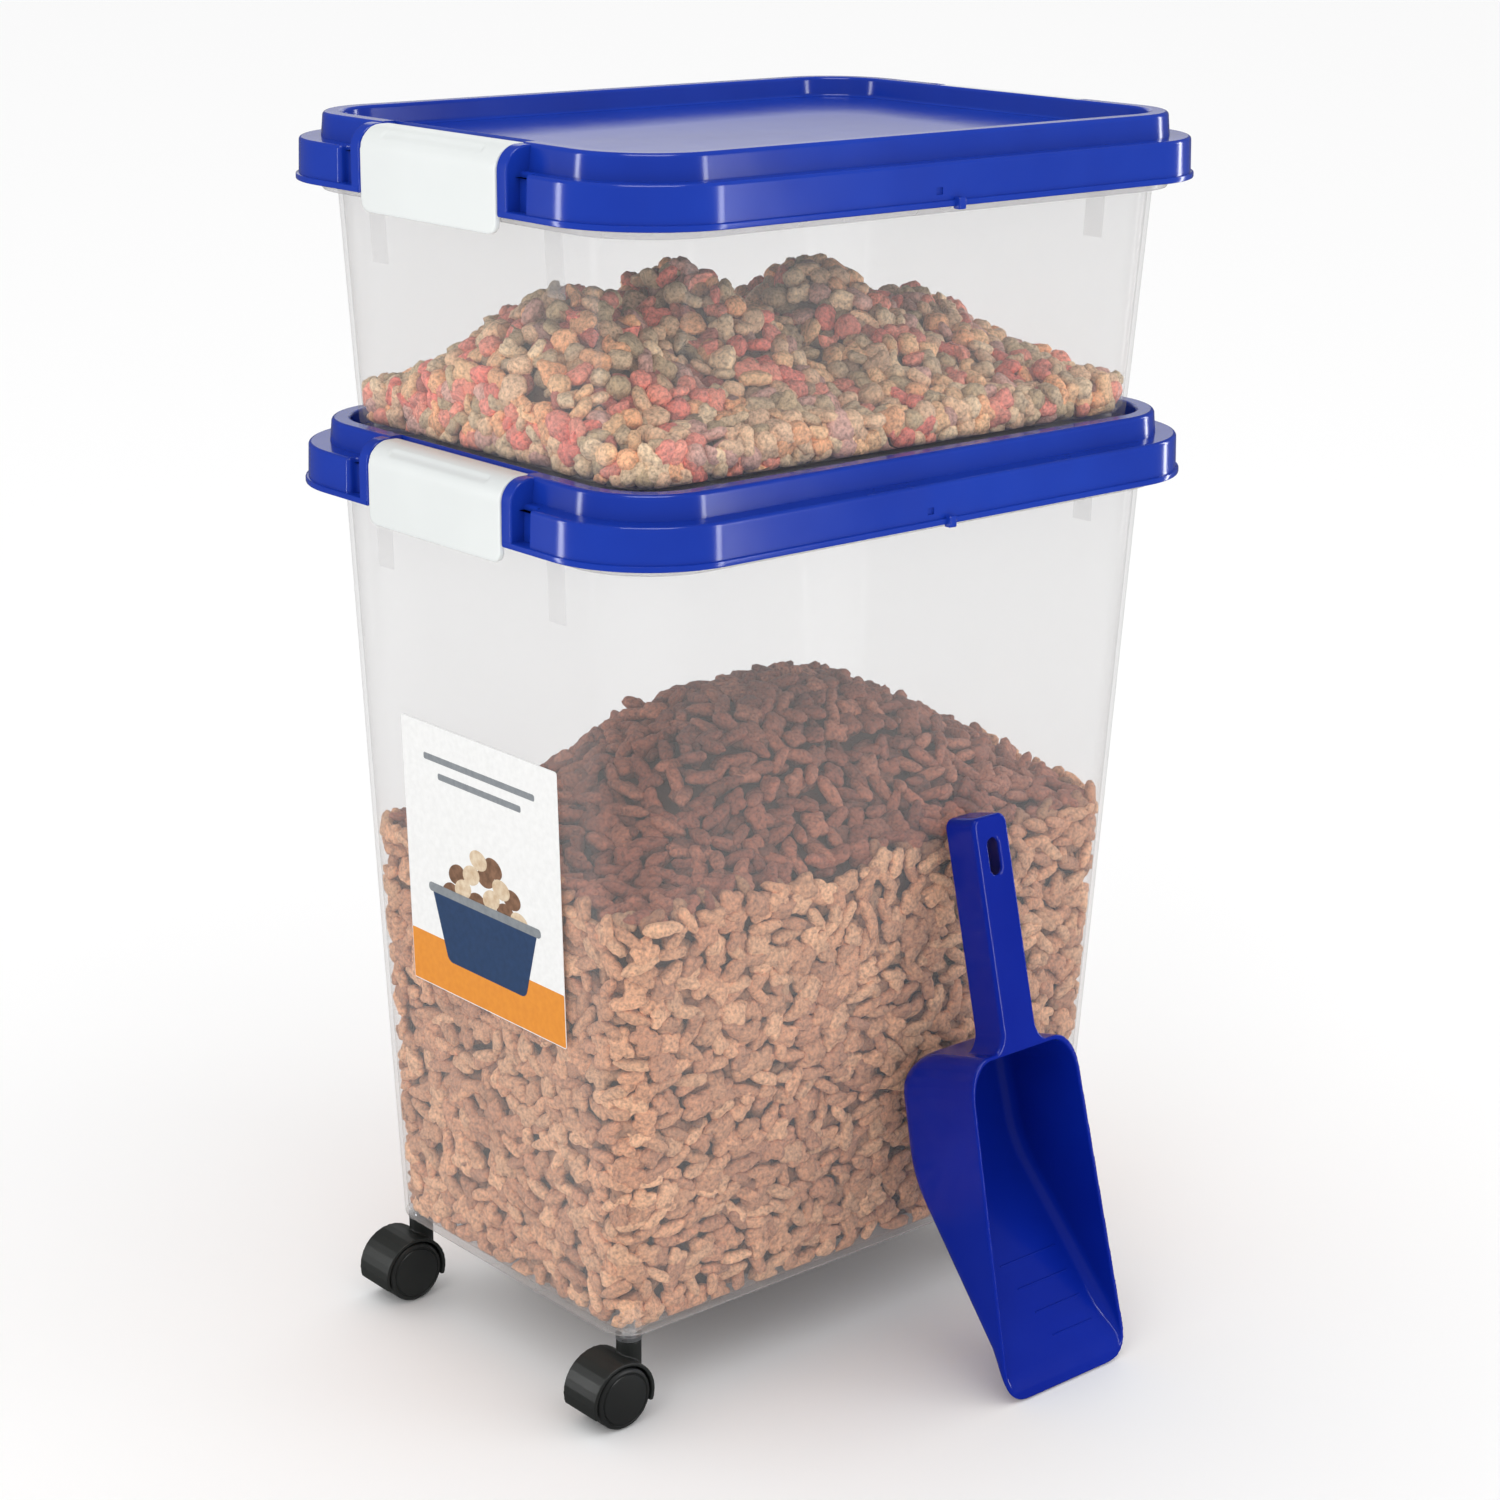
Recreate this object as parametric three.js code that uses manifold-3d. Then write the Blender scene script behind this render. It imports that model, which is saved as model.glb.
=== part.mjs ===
// A stacking pet food store: a tall bin on four swivel casters, a shallow bin that nests in the tray of
// its lid, a snap latch at each end of each lid, and a scoop that leans on the long side.
// Millimetres. X runs along the bins, Y across them (the front is -Y), and Z is up from the floor.
import * as THREE from 'three';
import { mergeVertices } from 'three/addons/utils/BufferGeometryUtils.js';
import Module from 'manifold-3d';

const wasm = await Module();
wasm.setup();

// Lids: half sizes and corner of the outer bead, and the height of the bead's underside.
const LID_HALF_X = 205;
const LID_HALF_Y = 155;
const LID_CORNER = 58;
const LOWER_LID_Z = 465.2;
const UPPER_LID_Z = 622.5;
const LEDGE_Z = 21.3;
const SEAT_Z = 18.6;
const RIM_Z = 33.8;
const TRAY_Z = 22.9;
const RIM_INNER = 22.4;

// Bins: half sizes and corner at the lid, the wall, and the flange that the latches hook under.
const MOUTH = { x: 184.2, y: 134.2, r: 37.2 };
const WALL = 2.2;
const LIP_TOP = 13;
const LIP_OUTER = 18.4;
const LIP_INNER = 20.9;
const LOWER_BIN = { base: 46, floor: 49, x: 169.4, y: 103.9, r: 18, rim: LOWER_LID_Z };
const UPPER_BIN = { base: 488.6, floor: 497, x: 176.2, y: 121.5, r: 24, rim: UPPER_LID_Z };
const PAD = { y: 73, halfWidth: 6.5, height: 38, proud: 1 };
const FOOT_RING = 7;
const FLOOR_THICKNESS = 2.6;
const BOSS_RADIUS = 7.2;
const BOSS_TOP = 62;
const SOCKET_TOP = 59;
const BOSS_LEAN = 0.985;

// Latches: width along Y, and the hinge pin's place behind the lid's end and above the bead.
const LATCH_WIDTH = 112;
const LATCH_GAP = 0.6;
const PIN_INSET = 17;
const PIN_Z = 28.2;
const PIN_RADIUS = 1.7;
const BARREL_RADIUS = 5;
const FACE_INSET = 0.3;
const LATCH_WALL = 2.8;
const LATCH_BOTTOM = -8.7;
const HOOK = { top: -3, topInset: 11.8, tip: -6, tipInset: 13.2, endGap: 14 };
const TROUGH = { radius: 9, out: 1.2, up: 2.2, share: 0.74 };
const PIN_OVERHANG = 6.4;
const SHOULDER_RADIUS = 12.3;
const LATCH_TOP = RIM_Z - 0.6;
const FACE_X = LID_HALF_X - FACE_INSET;
const SHOULDER_X = FACE_X - SHOULDER_RADIUS;
const SHOULDER_Z = LATCH_TOP - SHOULDER_RADIUS;
const CHEEK_WIDTH = 8;
const CHEEK_DEPTH = 9.5;
const VALLEY_WIDTH = 11.4;
const VALLEY_INSET = 8;
const NOTCH_INSET = 12;
const LID_WALL = 2.4;
const TAB = { halfWidth: 2.5, reach: 2.4, low: -1.4, high: 4.4 };

// Casters: the stem's place, and the twin wheels that trail behind it.
const STEM_X = 157;
const STEM_Y = 94;
const STEM_RADIUS = 4;
const TRAIL = 13;
const WHEEL_RADIUS = 17;
const WHEEL_WIDTH = 11.6;
const CAP_THICKNESS = 2.4;
const HOOD_RADIUS = 20;
const HOOD_HALF_WIDTH = 13.4;
const HOOD_WALL = 2;
const HOOD_EDGE = 10.5;
const HUB_RADIUS = 6.7;
const HUB_TOP = 42.9;
const STEM_FOOT = 30;
const WEB = 4.4;
const AXLE_RADIUS = 2;

// Scoop: the bowl's length, half widths and depth, the handle, and how far it leans back.
const SCOOP_X = 45;
const SCOOP_Y = -219.4;
const SCOOP_LEAN = THREE.MathUtils.degToRad(14);
const BOWL_LENGTH = 184;
const BOWL_DEPTH = 60;
const SCOOP_WALL = 2.2;
const HANDLE_TOP = 309;
const HANDLE_WIDTH = 25;
const HANDLE_DEPTH = 22;
const HOLE_RADIUS = 4;
const HOLE_HIGH = 16;
const HOLE_LOW = 28;

const LABEL_WIDTH = 134;
const LABEL_HEIGHT = 149;
const LABEL_Z = 275;

const CORNER_STEPS = 4;
const ROUND_SEGMENTS = 20;
const SLACK = 1;
const CLEARANCE = 0.3;

const BLUE = new THREE.MeshStandardMaterial({ color: 0x1a3ca8, roughness: 0.25, metalness: 0 });
const CLEAR = new THREE.MeshStandardMaterial({
  color: 0xe8e6e2, roughness: 0.35, metalness: 0, transparent: true, opacity: 0.45,
});
const WHITE = new THREE.MeshStandardMaterial({ color: 0xf5f8f7, roughness: 0.35, metalness: 0 });
const SEAL = new THREE.MeshStandardMaterial({ color: 0xd8dadc, roughness: 0.7, metalness: 0 });
const BLACK = new THREE.MeshStandardMaterial({ color: 0x202422, roughness: 0.5, metalness: 0 });
const STEEL = new THREE.MeshStandardMaterial({ color: 0xb8bcc0, roughness: 0.3, metalness: 1 });
const CARD = new THREE.MeshStandardMaterial({ color: 0xf4f4f2, roughness: 0.45, metalness: 0 });

function mesh(name, geometry, material) {
  const made = new THREE.Mesh(geometry, material.clone());
  made.name = name;
  return made;
}

// Solids for cutting and joining, and back again.
function solid(geometry) {
  const bare = geometry.clone();
  bare.deleteAttribute('normal');
  bare.deleteAttribute('uv');
  const merged = mergeVertices(bare, 1e-4);
  return new wasm.Manifold(new wasm.Mesh({
    numProp: 3,
    vertProperties: new Float32Array(merged.attributes.position.array),
    triVerts: new Uint32Array(merged.index.array),
  }));
}

function surface(body) {
  const cut = body.getMesh();
  const geometry = new THREE.BufferGeometry();
  geometry.setAttribute('position', new THREE.BufferAttribute(new Float32Array(cut.vertProperties), 3));
  geometry.setIndex(new THREE.BufferAttribute(new Uint32Array(cut.triVerts), 1));
  geometry.computeVertexNormals();
  return geometry;
}

// A box from its lowest corner to its highest.
function block(low, high) {
  const size = high.map((value, axis) => value - low[axis]);
  const geometry = new THREE.BoxGeometry(...size);
  geometry.translate(...low.map((value, axis) => value + size[axis] / 2));
  return geometry;
}

// A round bar along Y or Z between two ends.
function bar(radius, axis, centre, from, to, segments = ROUND_SEGMENTS) {
  const geometry = new THREE.CylinderGeometry(radius, radius, to - from, segments);
  if (axis === 'z') geometry.rotateX(Math.PI / 2);
  const middle = (from + to) / 2;
  if (axis === 'z') geometry.translate(centre[0], centre[1], middle);
  else geometry.translate(centre[0], middle, centre[1]);
  return geometry;
}

// A flat outline in X and Z, extruded along Y between two ends.
function slab(shape, from, to) {
  const options = { depth: to - from, bevelEnabled: false, curveSegments: 6 };
  const geometry = new THREE.ExtrudeGeometry(shape, options);
  geometry.rotateX(Math.PI / 2);
  geometry.translate(0, to, 0);
  return geometry;
}

// The points of one level of a part with rounded corners, anticlockwise seen from above.
function levelPoints({ x, y, r, z }) {
  const points = [];
  [[1, 1], [-1, 1], [-1, -1], [1, -1]].forEach(([signX, signY], quarter) => {
    for (let step = 0; step <= CORNER_STEPS; step += 1) {
      const angle = (quarter + step / CORNER_STEPS) * Math.PI / 2;
      points.push(signX * (x - r) + r * Math.cos(angle), signY * (y - r) + r * Math.sin(angle), z);
    }
  });
  return points;
}

// A solid whose skin passes through the levels in turn. An open run is capped at both ends, and a ring's
// last level joins its first.
function loft(levels, isRing = false) {
  const count = 4 * (CORNER_STEPS + 1);
  const index = [];
  const bands = isRing ? levels.length : levels.length - 1;
  for (let band = 0; band < bands; band += 1) {
    const lower = band * count;
    const upper = ((band + 1) % levels.length) * count;
    for (let i = 0; i < count; i += 1) {
      const next = (i + 1) % count;
      index.push(lower + i, lower + next, upper + next, lower + i, upper + next, upper + i);
    }
  }
  const last = (levels.length - 1) * count;
  for (let i = 1; !isRing && i < count - 1; i += 1) {
    index.push(0, i + 1, i, last, last + i, last + i + 1);
  }
  const geometry = new THREE.BufferGeometry();
  geometry.setAttribute('position', new THREE.Float32BufferAttribute(levels.flatMap(levelPoints), 3));
  geometry.setIndex(index);
  geometry.computeVertexNormals();
  return geometry;
}

// A level set in from the lid's outer bead, at a height above the bead's underside.
function lidLevel(inset, height) {
  return { x: LID_HALF_X - inset, y: LID_HALF_Y - inset, r: LID_CORNER - inset, z: height };
}

// A level of a bin's tapered wall, moved inward from its outer face.
function wallLevel(bin, z, inward) {
  const share = (z - bin.base) / (bin.rim - bin.base);
  const mix = THREE.MathUtils.lerp;
  return {
    x: mix(bin.x, MOUTH.x, share) - inward,
    y: mix(bin.y, MOUTH.y, share) - inward,
    r: mix(bin.r, MOUTH.r, share) - inward,
    z,
  };
}

function binSolid(bin) {
  const flange = (inset, height) => ({ ...lidLevel(inset, height), z: bin.rim + height });
  const levels = [
    wallLevel(bin, bin.base, 3.5),
    wallLevel(bin, bin.base + 3.5, 0),
    wallLevel(bin, bin.rim - 0.8, 0),
    flange(14.6, -0.8),
    flange(14.6, -5),
    flange(13.6, -5),
    flange(11, 0.3),
    flange(11, 1.5),
    flange(LIP_OUTER, 1.5),
    flange(LIP_OUTER, LIP_TOP),
    flange(LIP_INNER, LIP_TOP),
    flange(LIP_INNER, 3),
    wallLevel(bin, bin.rim - 1, WALL),
    wallLevel(bin, bin.floor + 4, WALL),
    wallLevel(bin, bin.floor, WALL + 4),
  ];
  return solid(loft(levels));
}

// Two upright stiffening pads outside each end wall, either side of the latch.
function withEndPads(body, bin) {
  let made = body;
  const top = bin.rim - 0.5;
  const foot = bin.rim - PAD.height;
  const topX = wallLevel(bin, bin.rim - 0.9, 0).x;
  const footX = wallLevel(bin, foot, 0).x;
  for (const end of [-1, 1]) {
    for (const side of [-1, 1]) {
      const pad = new THREE.Shape([
        new THREE.Vector2(end * (topX - WALL / 2), top),
        new THREE.Vector2(end * (topX + PAD.proud), top),
        new THREE.Vector2(end * (footX + PAD.proud), foot),
        new THREE.Vector2(end * (footX - WALL / 2), foot),
      ]);
      const middle = side * PAD.y;
      made = made.add(solid(slab(pad, middle - PAD.halfWidth, middle + PAD.halfWidth)));
    }
  }
  return made;
}

// The tall bin also has a blind socket over each caster stem.
function lowerBin() {
  let body = withEndPads(binSolid(LOWER_BIN), LOWER_BIN);
  for (const x of [-STEM_X, STEM_X]) {
    for (const y of [-STEM_Y, STEM_Y]) {
      const at = [x * BOSS_LEAN, y * BOSS_LEAN];
      const boss = bar(BOSS_RADIUS, 'z', at, LOWER_BIN.base + 1, BOSS_TOP);
      const socket = bar(STEM_RADIUS + CLEARANCE, 'z', [x, y], LOWER_BIN.base - SLACK, SOCKET_TOP);
      body = body.add(solid(boss)).subtract(solid(socket));
    }
  }
  return mesh('lower_bin', surface(body), CLEAR);
}

// The shallow bin stands on a foot ring, with its floor raised above it.
function upperBin() {
  const hollow = [
    wallLevel(UPPER_BIN, UPPER_BIN.base - SLACK, FOOT_RING),
    wallLevel(UPPER_BIN, UPPER_BIN.floor - FLOOR_THICKNESS, FOOT_RING),
  ];
  const body = withEndPads(binSolid(UPPER_BIN), UPPER_BIN).subtract(solid(loft(hollow)));
  return mesh('upper_bin', surface(body), CLEAR);
}

// The outline of a latch's outer face, from its lower edge up over the shoulder to the rim.
function shoulder(path, bottom) {
  path.moveTo(FACE_X, bottom);
  path.lineTo(FACE_X, SHOULDER_Z);
  path.absarc(SHOULDER_X, SHOULDER_Z, SHOULDER_RADIUS, 0, Math.PI / 2);
}

function cheekShape() {
  const shape = new THREE.Shape();
  const back = LID_HALF_X - RIM_INNER - 0.1;
  shoulder(shape, 0);
  shape.lineTo(back, LATCH_TOP);
  shape.lineTo(back, SEAT_Z);
  shape.lineTo(LID_HALF_X - CHEEK_DEPTH, SEAT_Z);
  shape.lineTo(LID_HALF_X - CHEEK_DEPTH, 0);
  return shape;
}

// A box at one end of the lid, given by insets from that end.
function endBlock(end, insets, widths, heights) {
  const x = insets.map((inset) => end * (LID_HALF_X - inset)).sort((a, b) => a - b);
  return solid(block([x[0], widths[0], heights[0]], [x[1], widths[1], heights[1]]));
}

// One end of the lid: the latch's notch, the two cheeks that hold its pin, and the valley beside each cheek.
function lidEnd(body, end) {
  const half = LATCH_WIDTH / 2 + LATCH_GAP;
  const cheek = half + CHEEK_WIDTH;
  const valley = cheek + VALLEY_WIDTH;
  const valleyBack = VALLEY_INSET + LID_WALL;
  const cut = (insets, widths, heights) => { made = made.subtract(endBlock(end, insets, widths, heights)); };
  const fill = (insets, widths, heights) => { made = made.add(endBlock(end, insets, widths, heights)); };
  let made = body;
  cut([RIM_INNER, -2], [-half, half], [LEDGE_Z, RIM_Z + SLACK]);
  cut([NOTCH_INSET, -2], [-half, half], [-SLACK, LEDGE_Z + SLACK]);
  fill([RIM_INNER + 0.2, NOTCH_INSET], [-half - 1, half + 1], [SEAT_Z, LEDGE_Z]);
  for (const side of [-1, 1]) {
    const band = (from, to) => [side * from, side * to].sort((a, b) => a - b);
    cut([VALLEY_INSET, -2], band(cheek - 1, valley), [3.4, LEDGE_Z + SLACK]);
    fill([valleyBack, VALLEY_INSET], band(cheek - 1, valley + 1), [0, LEDGE_Z]);
    fill([VALLEY_INSET + 1, 0.6], band(cheek - 1, valley + 1), [0, LID_WALL]);
    fill([valleyBack, 2.2], band(valley, valley + LID_WALL), [0, LEDGE_Z - 0.7]);
    const rib = solid(slab(cheekShape(), ...band(half, cheek)));
    made = made.add(end > 0 ? rib : rib.mirror([1, 0, 0]));
  }
  const reach = half + CHEEK_WIDTH - 1;
  const bore = bar(PIN_RADIUS + CLEARANCE, 'y', [end * (LID_HALF_X - PIN_INSET), PIN_Z], -reach, reach, 12);
  return made.subtract(solid(bore));
}

function lid(name, z) {
  const levels = [
    lidLevel(24.8, 20.5),
    lidLevel(24.6, SEAT_Z),
    lidLevel(RIM_INNER, SEAT_Z),
    lidLevel(22, 31.2),
    lidLevel(17.4, 31.2),
    lidLevel(16.2, SEAT_Z),
    lidLevel(4.2, SEAT_Z),
    lidLevel(3.8, 0),
    lidLevel(0.5, 0),
    lidLevel(0, 0.6),
    lidLevel(0, 2.8),
    lidLevel(1.6, 4),
    lidLevel(2.1, 19.6),
    lidLevel(3.8, LEDGE_Z),
    lidLevel(13.4, LEDGE_Z),
    lidLevel(14.4, 32),
    lidLevel(16.2, RIM_Z),
    lidLevel(22.6, RIM_Z),
    lidLevel(24.2, 32.2),
    lidLevel(25.6, TRAY_Z),
  ];
  let body = solid(loft(levels));
  for (const end of [-1, 1]) body = lidEnd(body, end);
  for (const side of [-1, 1]) {
    const y = side * LID_HALF_Y;
    const low = [-TAB.halfWidth, y - TAB.reach, TAB.low];
    body = body.add(solid(block(low, [TAB.halfWidth, y + TAB.reach, TAB.high])));
  }
  const made = mesh(name, surface(body), BLUE);
  made.position.z = z;
  return made;
}

function gasket(name, z) {
  const levels = [
    lidLevel(15.4, LIP_TOP + 0.4),
    lidLevel(15.4, SEAT_Z - 0.3),
    lidLevel(23.8, SEAT_Z - 0.3),
    lidLevel(23.8, LIP_TOP + 0.4),
  ];
  const made = mesh(name, loft(levels, true), SEAL);
  made.position.z = z;
  return made;
}

// A latch at the +X end: a curved plate on a barrel, with a hook that reaches under the bin's flange.
function latchGeometry() {
  const pinX = LID_HALF_X - PIN_INSET;
  const backX = FACE_X - LATCH_WALL;
  const outer = new THREE.Shape();
  shoulder(outer, LATCH_BOTTOM);
  outer.lineTo(pinX, LATCH_TOP);
  outer.absarc(pinX, PIN_Z, BARREL_RADIUS, Math.PI / 2, Math.PI * 2 - 0.01);
  outer.lineTo(pinX + BARREL_RADIUS, PIN_Z + 1.8);
  outer.absarc(SHOULDER_X, SHOULDER_Z, SHOULDER_RADIUS - LATCH_WALL, Math.PI * 0.46, 0, true);
  outer.lineTo(backX, HOOK.top);
  outer.lineTo(LID_HALF_X - HOOK.topInset, HOOK.top);
  outer.lineTo(LID_HALF_X - HOOK.tipInset, HOOK.tip);
  outer.lineTo(LID_HALF_X - HOOK.tipInset + 0.8, HOOK.tip - 1.4);
  outer.lineTo(backX, LATCH_BOTTOM + 0.6);
  outer.lineTo(backX + 0.4, LATCH_BOTTOM);
  const width = LATCH_WIDTH / 2;
  let body = solid(slab(outer, -width, width));
  const bore = bar(PIN_RADIUS + CLEARANCE, 'y', [pinX, PIN_Z], -width - SLACK, width + SLACK, 12);
  body = body.subtract(solid(bore));
  const reach = width * TROUGH.share;
  const trough = bar(TROUGH.radius, 'y', [LID_HALF_X + TROUGH.out, RIM_Z + TROUGH.up], -reach, reach, 16);
  body = body.subtract(solid(trough));
  const hookEnds = [[-width - SLACK, -width + HOOK.endGap], [width - HOOK.endGap, width + SLACK]];
  for (const [from, to] of hookEnds) {
    const behind = block([LID_HALF_X - 16, from, LATCH_BOTTOM - SLACK], [backX, to, HOOK.top + 1]);
    body = body.subtract(solid(behind));
  }
  return surface(body);
}

function latchAndPin(prefix, z) {
  return [-1, 1].flatMap((end) => {
    const label = end < 0 ? 'left' : 'right';
    const latch = mesh(`${prefix}_latch_${label}`, latchGeometry(), WHITE);
    latch.rotation.z = end > 0 ? 0 : Math.PI;
    latch.position.z = z;
    const reach = LATCH_WIDTH / 2 + LATCH_GAP + PIN_OVERHANG;
    const rod = bar(PIN_RADIUS, 'y', [end * (LID_HALF_X - PIN_INSET), PIN_Z], -reach, reach, 12);
    const pin = mesh(`${prefix}_latch_pin_${label}`, rod, STEEL);
    pin.position.z = z;
    return [latch, pin];
  });
}

function lathe(points, segments = ROUND_SEGMENTS) {
  const profile = points.map(([radius, height]) => new THREE.Vector2(radius, height));
  return new THREE.LatheGeometry(profile, segments);
}

function stem() {
  const points = [
    [0, STEM_FOOT], [STEM_RADIUS, STEM_FOOT], [STEM_RADIUS, 43.3], [7, 43.3], [7, 45.6],
    [STEM_RADIUS, 45.6], [STEM_RADIUS, 57.4], [2.8, 58.6], [0, 58.6],
  ];
  return lathe(points, 16).rotateX(Math.PI / 2);
}

// The hood wraps over both wheels and holds the axle in its middle web, behind the stem's socket.
function hood() {
  const wheelAt = [-TRAIL, WHEEL_RADIUS];
  const half = HOOD_HALF_WIDTH;
  let body = solid(bar(HOOD_RADIUS, 'y', wheelAt, -half, half, 28));
  body = body.add(solid(bar(HUB_RADIUS, 'z', [0, 0], HOOD_RADIUS, HUB_TOP)));
  for (const side of [-1, 1]) {
    const ends = [side * (WEB / 2), side * (half + SLACK)].sort((a, b) => a - b);
    body = body.subtract(solid(bar(HOOD_RADIUS - HOOD_WALL, 'y', wheelAt, ...ends, 28)));
  }
  const below = block([-2 * HOOD_RADIUS, -HOOD_RADIUS, -HOOD_RADIUS], [HOOD_RADIUS, HOOD_RADIUS, HOOD_EDGE]);
  body = body.subtract(solid(below));
  body = body.subtract(solid(bar(STEM_RADIUS + CLEARANCE, 'z', [0, 0], STEM_FOOT - 0.4, HUB_TOP + SLACK)));
  body = body.subtract(solid(bar(AXLE_RADIUS + CLEARANCE, 'y', wheelAt, -WEB, WEB, 12)));
  return surface(body);
}

function wheel() {
  const w = WHEEL_WIDTH;
  const bore = AXLE_RADIUS + CLEARANCE;
  return lathe([
    [bore, 0], [WHEEL_RADIUS - 1.4, 0], [WHEEL_RADIUS, 1.4], [WHEEL_RADIUS, w - 1.6], [WHEEL_RADIUS - 1.8, w],
    [0, w + 0.5], [0, w - CAP_THICKNESS], [bore, w - CAP_THICKNESS], [bore, 0],
  ]);
}

function caster(name, x, y) {
  const group = new THREE.Group();
  group.position.set(x, y, 0);
  const axleEnd = WEB / 2 + WHEEL_WIDTH - CAP_THICKNESS - 0.4;
  const axleAt = [-TRAIL, WHEEL_RADIUS];
  group.add(mesh(`caster_stem_${name}`, stem(), STEEL));
  group.add(mesh(`caster_hood_${name}`, hood(), BLACK));
  group.add(mesh(`caster_axle_${name}`, bar(AXLE_RADIUS, 'y', axleAt, -axleEnd, axleEnd, 12), STEEL));
  for (const [label, side] of [['a', -1], ['b', 1]]) {
    const made = mesh(`caster_wheel_${label}_${name}`, wheel(), BLACK);
    made.rotation.z = side > 0 ? 0 : Math.PI;
    made.position.set(-TRAIL, side * (WEB / 2 + 0.4), WHEEL_RADIUS);
    group.add(made);
  }
  return group;
}

// The scoop before it leans: width along X, length up Z, and the open face towards -Y.
function scoopSide(inward) {
  const shape = new THREE.Shape();
  const mouth = inward > 0 ? -SLACK : 0;
  shape.moveTo(mouth, inward > 0 ? -2 : 0);
  shape.lineTo(2.2 - inward, inward > 0 ? -2 : 0);
  shape.lineTo(2.2 - inward, 10 - inward);
  shape.lineTo(BOWL_DEPTH - 3 - inward, 112);
  shape.lineTo(BOWL_DEPTH - inward, 138);
  shape.lineTo(BOWL_DEPTH - 1 - inward, BOWL_LENGTH - 18);
  shape.lineTo(BOWL_DEPTH - 7 - inward, BOWL_LENGTH - 7 - inward);
  shape.lineTo(BOWL_DEPTH - 18, BOWL_LENGTH - 2 - inward);
  shape.lineTo(mouth, BOWL_LENGTH - inward);
  return shape;
}

function scoopFront(inward) {
  const shape = new THREE.Shape();
  const tip = 46 - inward;
  const top = 40 - inward;
  const end = BOWL_LENGTH - inward;
  shape.moveTo(-tip + 16, inward);
  shape.lineTo(tip - 16, inward);
  shape.quadraticCurveTo(tip, inward, tip - 0.4, 18);
  shape.lineTo(top, end - 14);
  shape.quadraticCurveTo(top, end, top - 14, end);
  shape.lineTo(-top + 14, end);
  shape.quadraticCurveTo(-top, end, -top, end - 14);
  shape.lineTo(-tip + 0.4, 18);
  shape.quadraticCurveTo(-tip, inward, -tip + 16, inward);
  return shape;
}

function scoopBlank(inward) {
  const side = new THREE.ExtrudeGeometry(scoopSide(inward), { depth: 120, bevelEnabled: false });
  side.translate(0, 0, -60);
  side.applyMatrix4(new THREE.Matrix4().makeBasis(
    new THREE.Vector3(0, 1, 0), new THREE.Vector3(0, 0, 1), new THREE.Vector3(1, 0, 0),
  ));
  const front = slab(scoopFront(inward), -SLACK * 2, BOWL_DEPTH + 2);
  return solid(side).intersect(solid(front));
}

function scoop() {
  const half = HANDLE_WIDTH / 2;
  const low = BOWL_LENGTH - 3;
  let body = scoopBlank(0).subtract(scoopBlank(SCOOP_WALL));
  let grip = solid(block([-half, 0, low], [half, HANDLE_DEPTH, HANDLE_TOP]));
  const gusset = new THREE.Shape([
    new THREE.Vector2(-half - 9, low), new THREE.Vector2(half + 9, low),
    new THREE.Vector2(half, low + 16), new THREE.Vector2(-half, low + 16),
  ]);
  grip = grip.add(solid(slab(gusset, 0, HANDLE_DEPTH)));
  const hollowLow = [-half + SCOOP_WALL, SCOOP_WALL, low + 3];
  const hollowHigh = [half - SCOOP_WALL, HANDLE_DEPTH + SLACK, HANDLE_TOP - SCOOP_WALL];
  grip = grip.subtract(solid(block(hollowLow, hollowHigh)));
  const hole = new THREE.Shape();
  hole.absarc(0, HANDLE_TOP - HOLE_HIGH, HOLE_RADIUS, 0, Math.PI);
  hole.absarc(0, HANDLE_TOP - HOLE_LOW, HOLE_RADIUS, Math.PI, Math.PI * 2);
  grip = grip.subtract(solid(slab(hole, -SLACK, SCOOP_WALL + SLACK)));
  body = body.add(grip);
  const made = mesh('scoop', surface(body), BLUE);
  made.rotation.x = -SCOOP_LEAN;
  made.position.set(SCOOP_X, SCOOP_Y, 2.2 * Math.sin(SCOOP_LEAN));
  return made;
}

// A printed card label stuck to the tall bin's left end.
function label() {
  const slope = Math.atan((MOUTH.x - LOWER_BIN.x) / (LOWER_BIN.rim - LOWER_BIN.base));
  const made = mesh('label', new THREE.BoxGeometry(0.4, LABEL_WIDTH, LABEL_HEIGHT), CARD);
  made.position.set(-wallLevel(LOWER_BIN, LABEL_Z, 0).x - 0.5, 0, LABEL_Z);
  made.rotation.y = -slope;
  return made;
}

const assembly = new THREE.Group();
assembly.add(lowerBin());
assembly.add(lid('lower_lid', LOWER_LID_Z));
assembly.add(gasket('lower_gasket', LOWER_LID_Z));
assembly.add(...latchAndPin('lower', LOWER_LID_Z));
assembly.add(upperBin());
assembly.add(lid('upper_lid', UPPER_LID_Z));
assembly.add(gasket('upper_gasket', UPPER_LID_Z));
assembly.add(...latchAndPin('upper', UPPER_LID_Z));
assembly.add(label());
assembly.add(scoop());
assembly.add(caster('front_left', -STEM_X, -STEM_Y));
assembly.add(caster('front_right', STEM_X, -STEM_Y));
assembly.add(caster('back_left', -STEM_X, STEM_Y));
assembly.add(caster('back_right', STEM_X, STEM_Y));

// The origin is the middle of the whole set's footprint, on the floor.
const extent = new THREE.Box3().setFromObject(assembly, true);
const middle = extent.getCenter(new THREE.Vector3());
assembly.position.set(-middle.x, -middle.y, -extent.min.z);
assembly.updateMatrixWorld(true);

export default assembly;
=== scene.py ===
"""Pet food bin set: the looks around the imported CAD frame. Shapes are worked out in mm and made in metres."""
import math
import random

import bmesh
import bpy
import numpy as np
from mathutils import Matrix, Vector


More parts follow.
